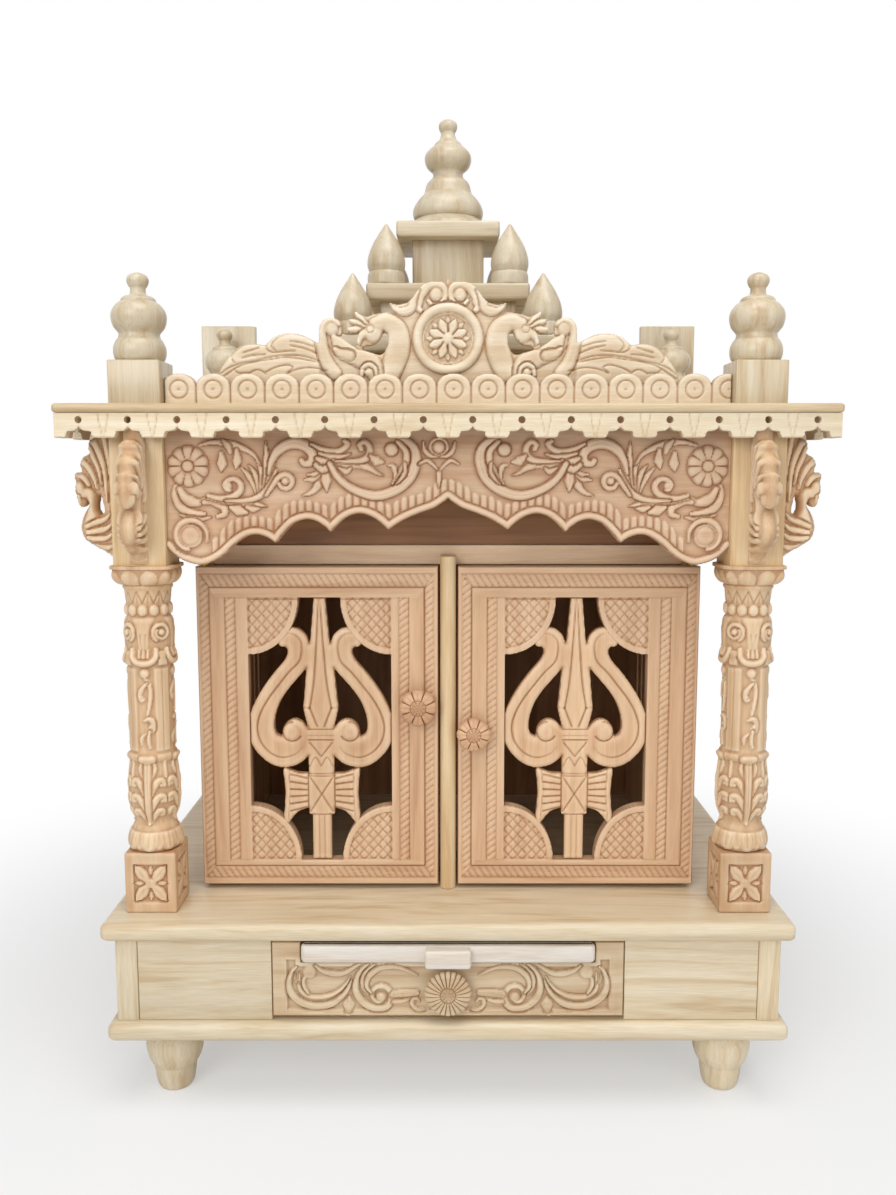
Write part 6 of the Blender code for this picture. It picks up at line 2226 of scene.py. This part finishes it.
@dataclass
class Valance:
    """Scalloped board under the roof: rolled rim, gouged border, vines and rosettes."""

    step: float = 1.1
    ground: float = 4.0
    depth: float = 11.0
    rosette: tuple[float, float, float] = (257.5, 664.1, 20.6)
    eye: Point = (55.8, 680.7)
    disc: Point = (257.0, 595.0)
    boss: Point = (-9.0, 683.0)
    arches: tuple[tuple[Point, ...], ...] = (
        ((0, 632.4), (5, 628.6), (14.5, 622.8), (29, 617.6), (43.5, 611.3), (52.5, 606),
            (59.5, 601)),
        ((59.5, 601), (66, 607.5), (76, 614.2), (88, 617.4), (100, 614.2), (109.5, 607),
            (116.8, 599)),
        ((116.8, 599), (124, 605.3), (132, 610), (141.5, 611.6), (153, 608), (163, 599),
            (172, 588)),
        ((172, 588), (181, 593.8), (191, 596.4), (201, 594.6), (212, 587.6), (223, 577.5),
            (234, 570.2), (247, 566.2), (262, 569.5), (272, 575.5), (280.1, 583)))
    strands: tuple[Strand, ...] = (
        Strand(((259.9, 643.9), (260.8, 636.1), (258.1, 627.4), (252.2, 621.3), (243.6, 617.8),
            (234, 617)), ((0, 1.8), (0.5, 3.5), (1, 1.4)), 2.6),
        Strand(((256, 641.3), (251.8, 633.5), (245, 629.1), (237.2, 628.3), (234.1, 631.8)),
            ((0, 2.1), (0.5, 4.2), (1, 1.4)), 3),
        Strand(((233.7, 628.3), (227.5, 630), (219.7, 627.4), (215.1, 622.2), (215.6, 616.6),
            (221.8, 614.3)), ((0, 1.8), (0.4, 3.9), (1, 1.4)), 3),
        Strand(((256.7, 616.1), (247.2, 613.1), (236.7, 611.7), (227.9, 613.8)), ((0, 0.7),
            (0.5, 1.9), (1, 0.7)), 2),
        Strand(((230.1, 632.6), (215.3, 630.5), (201.4, 629.1), (189.2, 627.1), (175.3, 624.3)),
            ((0, 1.4), (0.4, 3.5), (0.75, 2.8), (1, 0.4)), 3.2, ribs=4),
        Strand(((209.3, 623.6), (201.6, 620.4), (194.6, 618.4)), ((0, 1.4), (0.5, 4.2), (1, 1.4)),
            2.6),
        Strand(((194.5, 623.6), (188.4, 621.8), (182, 622.5)), ((0, 1.1), (0.5, 2.6), (1, 0.7)),
            2.4),
        Strand(((230, 635.2), (218.7, 632.3), (207.4, 634), (200.3, 639.6), (199.6, 646.5),
            (204.3, 651.3), (210.4, 650.7), (214.6, 646.2), (212.9, 641), (209.5, 640.3)),
            ((0, 1.4), (0.4, 2.6), (0.8, 1.8), (1, 1.2)), 3.2),
        Strand(((183.8, 634.7), (187.4, 646.5), (192.1, 655.1), (199.2, 663.4)), ((0, 1.1),
            (0.6, 2.3), (1, 0.4)), 2.6, vein=0.7),
        Strand(((182, 636.1), (183.5, 648.2), (186.8, 658.6), (192.2, 665.9)), ((0, 1.1),
            (0.6, 2.1), (1, 0.4)), 2.9, vein=0.7),
        Strand(((180.2, 637.8), (179.3, 651.7), (180.6, 662.1), (184.8, 669.8)), ((0, 1.1),
            (0.6, 2.1), (1, 0.4)), 3.1, vein=0.7),
        Strand(((178.5, 639.6), (175.5, 655.1), (174.7, 672.4), (175.4, 688.2)), ((0, 1.2),
            (0.6, 2.6), (1, 0.4)), 3.4, vein=0.8),
        Strand(((175.8, 641.3), (171.9, 655.1), (169.2, 665.5), (165.5, 677.6)), ((0, 1.1),
            (0.6, 2.1), (1, 0.4)), 3, vein=0.7),
        Strand(((213.6, 630), (197.9, 630), (185.6, 632.6), (176.7, 639.6), (169.5, 651.7),
            (165.9, 660.3)), ((0, 0.9), (0.5, 2.3), (1, 1.1)), 3),
        Strand(((236.5, 684.8), (224.3, 687.9), (210.5, 686.5), (196.7, 681.9), (186.4, 675),
            (181.1, 666.4)), ((0, 0.9), (0.5, 2.8), (1, 0.7)), 3, vein=0.7),
        Strand(((217.1, 677.6), (216.4, 669), (217.2, 658.9)), ((0, 1.4), (0.6, 4), (1, 0.5)), 2.8,
            vein=0.6),
        Strand(((202.6, 680.1), (202.1, 671.5), (203.8, 661.7)), ((0, 1.4), (0.6, 3.5), (1, 0.5)),
            2.8, vein=0.6),
        Strand(((215.6, 690.4), (210.5, 684.1), (208.6, 677.6)), ((0, 0.7), (0.5, 2.8), (1, 1.4)),
            2.6),
        Strand(((172.9, 656.9), (170.1, 669), (163.8, 679.6), (154.1, 685.8), (143.7, 686.5),
            (135.1, 681.9), (131.2, 674.1), (133.6, 667.9), (139.3, 666.9), (141.7, 669.8)),
            ((0, 1.1), (0.3, 3.5), (0.6, 4.2), (0.85, 3), (1, 1.9)), 3.8, vein=0.6),
        Strand(((175.9, 635.2), (169.6, 644.8), (164.3, 652.6), (158.1, 656), (152.1, 653.4),
            (151.1, 647.4), (154.9, 642.7), (160.6, 643), (163.2, 646.8)), ((0, 1.1), (0.4, 2.3),
            (1, 1.6)), 3),
        Strand(((141.6, 634.9), (132.3, 638.7), (126.1, 646.5), (123.1, 657.7)), ((0, 0.4),
            (0.6, 3), (1, 1.6)), 2.8, vein=0.6),
        Strand(((139.1, 650.7), (131.2, 651.7), (124.5, 655.5)), ((0, 0.7), (0.5, 2.3), (1, 1.1)),
            2.4),
        Strand(((136, 656), (130.3, 656.2), (123.8, 659.6)), ((0, 0.7), (0.5, 1.6), (1, 0.9)), 2.2),
        Strand(((118.7, 661.2), (118.7, 651.7), (118.2, 638.7)), ((0, 2.1), (0.5, 3.9), (1, 0.4)),
            3, vein=0.8),
        Strand(((114.6, 660.3), (109.4, 655.1), (105.2, 647.9)), ((0, 1.4), (0.6, 2.6), (1, 0.4)),
            2.6),
        Strand(((127.2, 665.2), (121.3, 662.4), (115, 664.8)), ((0, 2.5), (0.5, 3.9), (1, 2.5)), 4,
            ribs=4),
        Strand(((126.6, 671.5), (121.2, 669.3), (116.2, 671.4)), ((0, 1.8), (0.5, 2.8), (1, 1.8)),
            3.4, ribs=4),
        Strand(((132.4, 686.1), (122.1, 681), (110.9, 678.2), (102.2, 681), (97.4, 686.1),
            (100.3, 688.7)), ((0, 1.1), (0.5, 2.6), (1, 1.8)), 3.2),
        Strand(((124.8, 676.7), (113.5, 673.8), (103.1, 673.8), (94.4, 676.7)), ((0, 1.1),
            (0.5, 1.9), (1, 0.5)), 2.8),
        Strand(((114.8, 666.4), (108.5, 655.1), (99.1, 645.6), (86.1, 638.7), (72.2, 635.2),
            (59.1, 637.5), (46, 644.4), (36.3, 655.1), (31.9, 669), (32.8, 680.1), (38.8, 687.5),
            (47.5, 689.9)), ((0, 2.1), (0.4, 3.5), (0.8, 3.9), (1, 2.3)), 4, vein=0.7),
        Strand(((49.2, 687.9), (41.4, 679.3), (41, 669), (45.9, 660.3), (51.5, 653.4),
            (54.7, 646.5)), ((0, 1.8), (0.4, 2.6), (1, 0.7)), 3.4),
        Strand(((42.4, 667.2), (42.1, 658.6), (46.8, 650.8), (52, 646.5)), ((0, 1.1), (0.5, 1.8),
            (1, 0.5)), 2.8),
        Strand(((58.4, 665.2), (53.7, 664.1), (51.8, 657.7), (53.2, 651.7)), ((0, 0.9), (0.4, 2.1),
            (1, 0.5)), 2.6),
        Strand(((111.5, 669.8), (99.7, 665.9), (87.6, 666.2), (77.2, 662.4), (70.2, 657.7),
            (63, 654.8)), ((0, 0.9), (0.3, 3.3), (0.6, 2.8), (1, 0.4)), 3, ribs=4),
        Strand(((105.8, 662.4), (98.9, 658.9), (94.9, 662.4)), ((0, 0.9), (0.5, 2.3), (1, 0.9)),
            2.2),
        Strand(((109.2, 669), (96.2, 669), (83.2, 670.3), (77.4, 675.5), (76.6, 682.7),
            (80.8, 687.9), (86, 685.8), (84.6, 681)), ((0, 0.7), (0.5, 2.6), (1, 1.8)), 3.4),
        Strand(((75.7, 674.5), (70.1, 669.8), (62.9, 667.9)), ((0, 1.4), (0.5, 3.9), (1, 0.9)), 2.6,
            ribs=3))

    def build(self, finish: Finishes) -> None:
        """Build and dress the valance.

        Args:
            finish: the finishes.
        """
        lo, hi = box_of("valance")
        half, top = hi[0] / MM, hi[2] / MM
        lower = np.vstack([smooth_path(a, 8) for a in self.arches])
        lower[:, 1] = np.maximum(lower[:, 1], lo[2] / MM + 0.05)
        loop = both_ways(np.vstack([lower, [(half, top)]]))
        face = Relief((-half, half), (lo[2] / MM, top), self.step)
        face.tint = 0.95
        right = face.right_half()
        away, run = to_path(right.u, right.w, lower)
        length = np.hypot(*np.diff(lower, axis=0).T).sum()
        self.border(right, away, run * length)
        for strand in self.strands:
            strand.moved(0.0, 1.4, 0.00016).draw(right, 0.0, 0.7)
        cu, cw, r = self.rosette
        right.h[np.hypot(right.u - cu, right.w - cw) < r + 1.0] = -0.6
        right.flower(cu, cw, r, 10, 3.8, 0.26, 18.0)
        right.dome(*self.eye, 6.4, 3.9, power=3.0)
        right.cut(spiral(*self.eye, 7.2, 7.2, 0.0, 1.0, 24), 0.9, 1.4)
        right.dome(217.7, 644.8, 3.6, 3.8, power=3.0)
        right.dome(161.4, 649.4, 4.0, 3.6, power=3.0)
        self.roundel(right)
        face.mirror(right)
        self.centre(face)
        whole = np.vstack([lower[::-1] * np.array([-1.0, 1.0]), lower])
        face.roll(-to_path(face.u, face.w, whole)[0], 2.4)
        face.h = np.minimum(face.h, self.ground)
        shell = carved(face, [loop], self.depth)
        show("carved_valance", shell.moved((0, lo[1] + self.ground * MM, 0)), finish.frieze,
             ["valance"], sharp=50.0)

    def border(self, face: Relief, away: Array, run: Array) -> None:
        """Rolled rim along the scallops and a row of upright round-headed tongues over it.

        Args:
            face: the height field of the right half.
            away: distance from the scalloped edge.
            run: distance along that edge.
        """
        f = np.abs(2 * ((face.u / 7.9 + 0.04 * np.sin(run / 9.0)) % 1.0) - 1)
        top = 20.5 + 1.3 * np.sin(run / 5.3) - 3.2 * f ** 2
        ends = ramp(away, 7.4, 1.2) * ramp(top, away, 1.8)
        ends *= (away < top + 0.1) & (face.u < 236)
        face.h = np.maximum(face.h, 1.6 * arc(f / 0.80, 4) * ends)
        face.h -= 0.9 * ramp(f, 0.72, 0.20) * (ends > 0.05)
        rim = fade(np.abs(away - 3.4), 3.5)
        face.h = np.maximum(face.h, 3.5 * arc(1 - rim, 3) * (away < 6.9))

    def roundel(self, face: Relief) -> None:
        """Disc held by a broad scroll in each lower corner.

        Args:
            face: the height field of the right half.
        """
        cu, cw = self.disc
        near = np.hypot(face.u - cu, face.w - cw)
        face.h = np.where(near < 19.5, np.minimum(face.h, 0.4), face.h)
        face.stroke(spiral(cu, cw, 17.2, 13.6, 200, -0.78), ((0, 1.4), (0.5, 3.6), (1, 2.0)), 3.2)
        face.dome(cu, cw, 9.8, 3.3, power=5.0)
        face.ring(cu, cw, 10.6, 1.3, 2.2)

    def centre(self, face: Relief) -> None:
        """Ringed boss and stepped line, a little to the left of the middle as it was carved.

        Args:
            face: the height field.
        """
        cu, cw = self.boss
        face.ring(cu, cw, 8.4, 1.6, 3.0)
        face.dome(cu, cw, 6.2, 3.8, power=2.6)
        for sign in (-1, 1):
            Strand(((cu + sign * 19.5, 666.4), (cu + sign * 12.2, 669.8), (cu + sign * 6.0, 665.9),
                    (cu + sign * 0.5, 659.5)), ((0, 1.2), (0.5, 2.0), (1, 1.0)), 2.4).draw(face)
            Strand(((cu + sign * 2.0, 673.0), (cu + sign * 8.5, 674.5), (cu + sign * 14.0, 680.0),
                    (cu + sign * 15.5, 688.0)), ((0, 1.0), (0.5, 2.4), (1, 1.0)), 2.8).draw(face)
        Strand(((cu, 657.0), (cu, 650.0), (cu, 643.5)), ((0, 2.6), (0.5, 2.2), (1, 0.6)),
               2.6, 0.5).draw(face)


@dataclass
class Fringe:
    """Pierced, lobed fringe that hangs under the front and side edges of the roof."""

    low: float = 691.1
    top: float = 714.7
    hole_r: float = 3.5
    hole_z: float = 708.2
    step: float = 1.3

    def strip(self, length: float, bays: int) -> Shell:
        """One fringe along X, its middle at x = 0 and its front at y = 0.

        Args:
            length: length in millimetres.
            bays: number of holes.
        Returns:
            The closed, pierced shell.
        """
        pitch = length / bays
        half = length / 2
        notch = ((-15.0, self.low), (-12.6, self.low + 1.6), (-11.2, self.low + 6.2),
                 (-4.6, self.low + 6.6), (-1.6, self.low + 8.6), (0.0, self.low + 10.8),
                 (1.6, self.low + 8.6), (4.6, self.low + 6.6), (11.2, self.low + 6.2),
                 (12.6, self.low + 1.6), (15.0, self.low))
        line = [(-half, self.low)]
        centres = [-half + (k + 0.5) * pitch for k in range(bays)]
        for c in centres:
            line += [(c + a, b) for a, b in notch]
        line += [(half, self.low), (half, self.top), (-half, self.top)]
        loops = [np.array(line)]
        a = np.radians(np.arange(0, 360, 22.5))
        for c in centres:
            loops.append(np.stack([c + self.hole_r * np.cos(a),
                                   self.hole_z + self.hole_r * np.sin(a)], 1))
        face = Relief((-half, half), (self.low, self.top), self.step)
        for k in range(1, bays):
            c = -half + k * pitch
            for sign in (-1, 1):
                face.cut(smooth_path(((c + sign * 5.0, 713.6), (c + sign * 3.9, 706.0),
                                      (c + sign * 2.1, 698.0), (c + sign * 1.0, 691.8)), 4), 1.0,
                         1.1)
        u = (face.u + half) % pitch - pitch / 2
        lower = np.interp(u, *np.array(notch).T)
        face.roll(np.where(face.w > lower, lower - face.w, 0.0), 1.3)
        return carved(face, loops, 10.0)

    def build(self, finish: Finishes) -> None:
        """Build the front and both side fringes.

        Args:
            finish: the finishes.
        """
        lo, hi = box_of("fringe_front")
        front = self.strip((hi[0] - lo[0]) / MM, 16)
        show("carved_fringe_front", front.moved((0, lo[1], 0)), finish.pale_x, ["fringe_front"])
        lo, hi = box_of("fringe_right")
        side = self.strip((hi[1] - lo[1]) / MM, 10)
        mid = (lo[1] + hi[1]) / 2
        for name, sign in (("right", 1), ("left", -1)):
            show("carved_fringe_" + name,
                 turned_round(side, 90 * sign).moved((hi[0] * sign, mid, 0)), finish.pale_y,
                 ["fringe_" + name])


@dataclass
class Parapet:
    """Row of round-topped arches with ringed discs over the roof's front edge."""

    arches: int = 16
    pitch: float = 34.0
    first: float = -283.2
    spring: float = 741.5
    disc_z: float = 739.6
    disc_r: float = 8.8

    def build(self, finish: Finishes) -> None:
        """Build and dress the parapet.

        Args:
            finish: the finishes.
        """
        lo, hi = box_of("parapet")
        half, z0, z1 = hi[0] / MM, lo[2] / MM, hi[2] / MM
        pitch, start = self.pitch, self.first
        line = []
        a = np.radians(np.linspace(4, 176, 15))
        for k in range(self.arches, -1, -1):
            c = start + (k + 0.5) * pitch
            line += [(c + 0.5 * pitch * math.cos(t),
                      self.spring + (z1 - self.spring) * math.sin(t) ** 0.9) for t in a]
        line = [(half, z0)] + [p for p in line if abs(p[0]) < half - 0.3] + [(-half, z0)]
        line.insert(1, (half, line[1][1]))
        line.insert(-1, (-half, line[-2][1]))
        loop = np.array(line[::-1])
        face = Relief((-half, half), (z0, z1), 1.0)
        u = (face.u - start) % pitch - pitch / 2
        reach = np.hypot(u / (0.5 * pitch), np.maximum(face.w - self.spring, 0)
                         / (z1 - self.spring)) * 0.5 * pitch
        groove = fade(np.abs(reach - 0.5 * pitch), 1.4)
        away = np.hypot(u, face.w - self.disc_z)
        ring = fade(np.abs(away - self.disc_r), 1.4)
        pit = fade(away, 1.8)
        face.h = 0.9 - 2.0 * groove - 1.7 * ring - 1.6 * pit
        edge, _, _ = to_outline(face.u, face.w, [loop])
        face.roll(np.where(face.w > z0 + 2.5, edge, -9.0), 1.6)
        show("arched_parapet", carved(face, [loop], 9.1).moved((0, lo[1] + 0.9 * MM, 0)),
             finish.crest, ["parapet"], sharp=50.0)


@dataclass
class Crest:
    """Openwork crest: two peacocks with long tails beside a medallion with an open lotus."""

    outline: tuple[Point, ...] = (
        (0, 129.5), (2, 121.6), (7.3, 121.2), (15.7, 121.2), (24, 118.8), (30.7, 112.3),
        (35.8, 105), (42.5, 100.9), (50.8, 99.6), (58, 101.2), (56.2, 96), (51.7, 91.6), (52.6, 91),
        (59.2, 92.4), (66.8, 91.6), (74.3, 90), (81.1, 87.9), (87.4, 90), (91.9, 92.8),
        (93.1, 90.3), (92, 86.2), (99.5, 85.4), (97.9, 81.3), (101.3, 77.2), (99.6, 73.1),
        (93.8, 71.8), (88.7, 73.3), (88.6, 70.3), (90.5, 64.9), (91.8, 56.7), (87.2, 55.9),
        (83, 59.5), (78.3, 60), (72.9, 62), (67.8, 67.1), (65.1, 73), (62.4, 73), (60.1, 68.7),
        (59.5, 62.5), (62, 55.9), (67.1, 50.9), (76.3, 52.6), (86.4, 55.6), (93.1, 58.3),
        (99.8, 62.5), (106.4, 67.4), (110.4, 69), (106.9, 70.7), (106, 78), (107.9, 83.8),
        (112.9, 86.2), (118.7, 86.7), (124.6, 83.8), (128.1, 77.2), (128.6, 65.7), (129.7, 62.3),
        (137.2, 66), (146.8, 70.3), (156.5, 71.6), (166.3, 70.8), (173.8, 67.6), (178, 64.4),
        (182.7, 60.7), (191.3, 61.2), (199.9, 61.2), (206.5, 59.2), (211.9, 55.9), (217.5, 49.6),
        (223, 43.2), (229.5, 32.7), (231.9, 20), (231.9, 0))
    foot: float = 724.3
    top: float = 853.95
    half: float = 232.0
    front: float = -191.0
    bed: float = 1.0
    eye: Point = (77.3, 75.6)
    medal_z: float = 66.2
    strands: tuple[Strand, ...] = (
        Strand(((24.1, 91.1), (29.9, 97.7), (28.2, 108.2), (20.7, 117.2), (11.5, 119.6), (4, 115.6),
            (2.7, 107.4), (7.6, 100.6), (15.2, 99.6), (19.6, 103.4)), ((0, 1), (0.2, 5.2),
            (0.4, 4.1), (0.7, 2.4), (1, 1.4)), 3.6, vein=0.5),
        Strand(((57.5, 100.9), (52.5, 95.2), (44.2, 92.8), (36.6, 96), (34.1, 105), (29.1, 113.1)),
            ((0, 0.7), (0.4, 3.8), (0.8, 3.1), (1, 1)), 3, vein=0.5),
        Strand(((72, 80), (62, 83), (52, 76), (49.5, 64), (51, 52), (55, 40), (58, 32)), ((0, 6),
            (0.16, 6.8), (0.33, 8.4), (0.5, 9.6), (0.67, 9.8), (1, 8.4)), 5),
        Strand(((80.5, 79.5), (86.5, 86), (91.4, 90.5)), ((0, 1.8), (0.6, 2.7), (1, 1.6)), 3.2),
        Strand(((82.5, 77), (90, 81.5), (96.2, 83.6)), ((0, 1.8), (0.6, 2.8), (1, 1.7)), 3.4),
        Strand(((83, 73.5), (91, 75.8), (98.3, 75.3)), ((0, 1.8), (0.6, 2.8), (1, 1.7)), 3.4),
        Strand(((82.5, 72), (88, 67.5), (89.3, 58)), ((0, 3.4), (0.4, 3.3), (1, 0.9)), 3.8,
            vein=0.5),
        Strand(((113.2, 32.4), (120.8, 43.2), (125.4, 57.2), (126.3, 71.3), (122.6, 81.3),
            (115.2, 84.6), (108.4, 80.3)), ((0, 5.6), (0.5, 5), (0.75, 3), (1, 1.6)), 3.8),
        Strand(((73.1, 32.8), (76.4, 42.7), (89.8, 49.3), (104.9, 57.5), (114, 68.2)), ((0, 6.9),
            (0.4, 7.9), (0.8, 7.6), (1, 2.4)), 3.4),
        Strand(((98.2, 50.1), (106.6, 51.8), (112.4, 55.9)), ((0, 4.5), (0.5, 4.5), (1, 2.4)), 3),
        Strand(((71.5, 30), (73, 37.5), (79, 41), (85, 37.6), (86.3, 30.5)), ((0, 1.4), (0.5, 2.2),
            (1, 1.7)), 4))
    feathers: tuple[tuple[Point, ...], ...] = (
        ((228.2, 31.6), (217.7, 38.5), (206.8, 42.2), (192.7, 44.8), (178.6, 48), (162.3, 50.1),
            (146.1, 49.6), (128.9, 44.8)),
        ((228.3, 26.8), (217.9, 33.7), (206.9, 40.1), (192.7, 43.8), (178.6, 45.9), (162.4, 48),
            (146.2, 46.4), (130, 43.3)),
        ((213.3, 42.7), (216.4, 47.5), (214.2, 52.3), (206.5, 58.6), (196.7, 61.5), (182.6, 60.7)),
        ((204.4, 52.8), (196.8, 54.9), (188.7, 57.6)),
        ((205.1, 47.5), (194.8, 50.1), (182.9, 50.9)),
        ((182.1, 60.7), (180.1, 55.4), (173.6, 53), (162.3, 54.1), (152.5, 54.6)),
        ((172, 54.4), (175.7, 59.1), (173.4, 63.9), (166.3, 69.2), (155.5, 71.6), (142.6, 68.6),
            (129.7, 62.8)),
        ((156.7, 63.9), (145.9, 62.3), (134.1, 58.6)),
        ((156.8, 59.7), (143.8, 57), (132, 52.3)),
        ((182.1, 33.7), (173.4, 37.9), (161.4, 40.6), (155, 37.9), (159.4, 33.7)),
        ((160.5, 32.6), (148.5, 36.9), (135.5, 37.9), (120.4, 34.8)),
        ((199.5, 32.1), (191.8, 35.8), (186.4, 34.8), (182.2, 31.6)),
        ((212.4, 34.8), (209.2, 32.6), (200.6, 32.6)))

    def build(self, finish: Finishes) -> None:
        """Build and dress the crest.

        Args:
            finish: the finishes.
        """
        pts = np.array(self.outline, float)
        half = np.vstack([smooth_path(pts[:-1], 4), pts[-1:]])
        half[:, 0] = np.clip(half[:, 0], 0.0, 231.95)
        half[:, 1] = np.clip(half[:, 1], 0.0, 129.6) + self.foot
        loop = both_ways(half)
        face = Relief((-self.half, self.half), (self.foot, self.top), 1.0)
        face.tint = 1.8
        right = face.right_half()
        away, _, _ = to_outline(right.u, right.w, [loop])
        pillow = arc(1 - np.clip(-away / 7.0, 0, 1))
        tail = ramp(right.u, 126.0, 4.0)
        right.h = self.bed + (2.9 * tail) * pillow
        up = np.array([0.0, self.foot - 0.3])
        for strand in self.strands:
            strand.moved(up[1], 1.25).draw(right, self.bed, 0.6)
        for line in self.feathers:
            right.cut(smooth_path(np.array(line) + up, 6), 1.3, 2.0)
        right.dome(74.7, 72.5 + up[1], 9.6, 4.6, self.bed, 3.0)
        for cu, cw, r in ((11.8, 109.6, 6.6), (115.8, 76.4, 6.8), (79.2, 33.4, 4.4)):
            right.dome(cu, cw + up[1], r, 4.0, self.bed, 3.0)
        eye = np.array(self.eye) + up
        right.cut(spiral(*eye, 3.9, 3.9, 0.0, 1.0, 24), 0.9, 1.6)
        right.dome(*eye, 1.9, 6.0)
        for a, b in (((110, 52), (122, 62)), ((103, 47), (116, 53)), ((92, 41), (108, 46)),
                     ((80, 36.5), (97, 40))):
            right.cut(smooth_path((np.array((a, ((a[0] + b[0]) / 2, (a[1] + b[1]) / 2 - 1.5), b))
                                   + up), 4), 1.0, 1.5, True)
        away = np.where(right.w < self.foot + 3, -9.0, away)
        right.roll(away, 2.0)
        face.mirror(right)
        self.medallion(face)
        face.h = np.minimum(face.h, 6.4)
        show("carved_crest", carved(face, [loop], 8.0).moved((0, self.front * MM, 0)),
             finish.crest, ["crest"], sharp=50.0)

    def medallion(self, face: Relief) -> None:
        """Moulded ring round a lotus of eight petals, with the tips of eight more between.

        Args:
            face: the height field.
        """
        cw = self.foot + self.medal_z
        d = np.hypot(face.u, face.w - cw)
        face.h = np.where((d > 35.2) & (d < 36.8), np.minimum(face.h, 0.9), face.h)
        face.h = np.where(d < 35.2, 1.6, face.h)
        face.ring(0.0, cw, 30.4, 4.9, 4.8, 1.6)
        face.ring(0.0, cw, 24.4, 1.1, 1.5, 1.6)
        for row, reach, wide, high in ((1, 22.0, 3.6, 2.1), (0, 20.4, 4.9, 3.5)):
            for k in range(8):
                a = math.radians(45.0 * k + 22.5 * row + 22.5)
                c, s = math.cos(a), math.sin(a)
                Strand(((4.0 * c, cw + 4.0 * s), (0.6 * reach * c, cw + 0.6 * reach * s),
                        (reach * c, cw + reach * s)),
                       ((0, 1.8), (0.55, wide), (0.85, wide * 0.6), (1, 0.3)), high,
                       0.7).draw(face, 1.6, 0.7)
        face.dome(0.0, cw, 6.2, 4.2, 1.6, 3.2)
        for k in range(7):
            a = 2 * math.pi * k / 6
            r = 0.0 if k == 6 else 3.5
            face.dome(r * math.cos(a), cw + r * math.sin(a), 1.3, 4.7, 1.6)


@dataclass
class Studio:
    """Plain floor and backdrop, soft light, and the camera at the photograph's place."""

    lens: float = 31.27
    camera_at: tuple[float, float, float] = (0.0, -1.251, 0.655)
    pitch_deg: float = 6.7
    floor: str = "#f1f2f4"

    def build(self) -> None:
        """Make the floor, the lamps, the world and the camera."""
        mesh = bpy.data.meshes.new("studio_floor")
        mesh.from_pydata([(-6, -4, 0), (6, -4, 0), (6, 9, 0), (-6, 9, 0)], [], [(0, 1, 2, 3)])
        mat, tree, shader = blank_material("matt_paper_floor")
        shader.inputs["Base Color"].default_value = linear(self.floor)
        shader.inputs["Roughness"].default_value = 0.9
        far = node(tree, "VectorMath", dict(operation="LENGTH"),
                   i0=node(tree, "TexCoord").outputs["Object"])
        white = node(tree, "MapRange", dict(interpolation_type="SMOOTHSTEP"),
                     i0=far.outputs["Value"], i1=0.35, i2=1.15, i3=0.40, i4=1.0)
        share = node(tree, "Math", dict(operation="MULTIPLY"), i0=white.outputs[0],
                     i1=node(tree, "LightPath").outputs["Is Camera Ray"])
        glow = node(tree, "Emission", Color=(1.0, 1.0, 1.0, 1.0), Strength=1.0)
        both = node(tree, "MixShader", i0=share.outputs[0], i1=shader.outputs[0],
                    i2=glow.outputs[0])
        tree.links.new(both.outputs[0], tree.nodes["Material Output"].inputs[0])
        mesh.materials.append(mat)
        floor = bpy.data.objects.new("studio_floor", mesh)
        bpy.context.scene.collection.objects.link(floor)
        for name, place, aim, size, power in (
                ("key_lamp", (-1.4, -3.1, 1.9), (0, 0, 0.5), 1.9, 50.0),
                ("fill_lamp", (2.3, -2.8, 1.2), (0, 0, 0.5), 2.4, 18.0),
                ("top_lamp", (0.2, -1.15, 3.2), (0, 0, 0.4), 1.8, 44.0)):
            data = bpy.data.lights.new(name, "AREA")
            data.shape = "SQUARE"
            data.size = size
            data.energy = power
            lamp = bpy.data.objects.new(name, data)
            lamp.location = place
            lamp.rotation_euler = (Vector(aim) - Vector(place)).to_track_quat("-Z", "Y").to_euler()
            bpy.context.scene.collection.objects.link(lamp)
        world = bpy.data.worlds.new("studio_world")
        bpy.context.scene.world = world
        world.use_nodes = True
        tree = world.node_tree
        tree.nodes.clear()
        path = node(tree, "LightPath")
        seen = node(tree, "Math", dict(operation="MAXIMUM"), i0=path.outputs["Is Camera Ray"],
                    i1=path.outputs["Is Glossy Ray"])
        plain = node(tree, "Background", Color=(1.0, 1.0, 1.0, 1.0), Strength=1.0)
        soft = node(tree, "Background", Color=(1.0, 1.0, 1.0, 1.0), Strength=0.33)
        both = node(tree, "MixShader", i0=seen.outputs[0], i1=soft.outputs[0], i2=plain.outputs[0])
        out = node(tree, "OutputWorld")
        tree.links.new(both.outputs[0], out.inputs[0])
        data = bpy.data.cameras.new("photo_camera")
        data.lens = self.lens
        data.sensor_width = 36.0
        data.clip_end = 50.0
        camera = bpy.data.objects.new("photo_camera", data)
        camera.location = self.camera_at
        camera.rotation_euler = (math.radians(90 - self.pitch_deg), 0.0, 0.0)
        bpy.context.scene.collection.objects.link(camera)
        bpy.context.scene.camera = camera
        bpy.context.scene.view_settings.view_transform = "Standard"


def main() -> None:
    """Build every sub-assembly in order, then the studio."""
    finish = Finishes.built()
    for part in (Base(), Drawer(), Tray(), Columns(), Cabinet(), Doors(), Brackets(), Valance(),
                 Roof(), Fringe(), Parapet(), Crest(), Finials(), Tower()):
        log.info("building %s", type(part).__name__)
        part.build(finish)
    Studio().build()


if __name__ == "__main__":
    main()
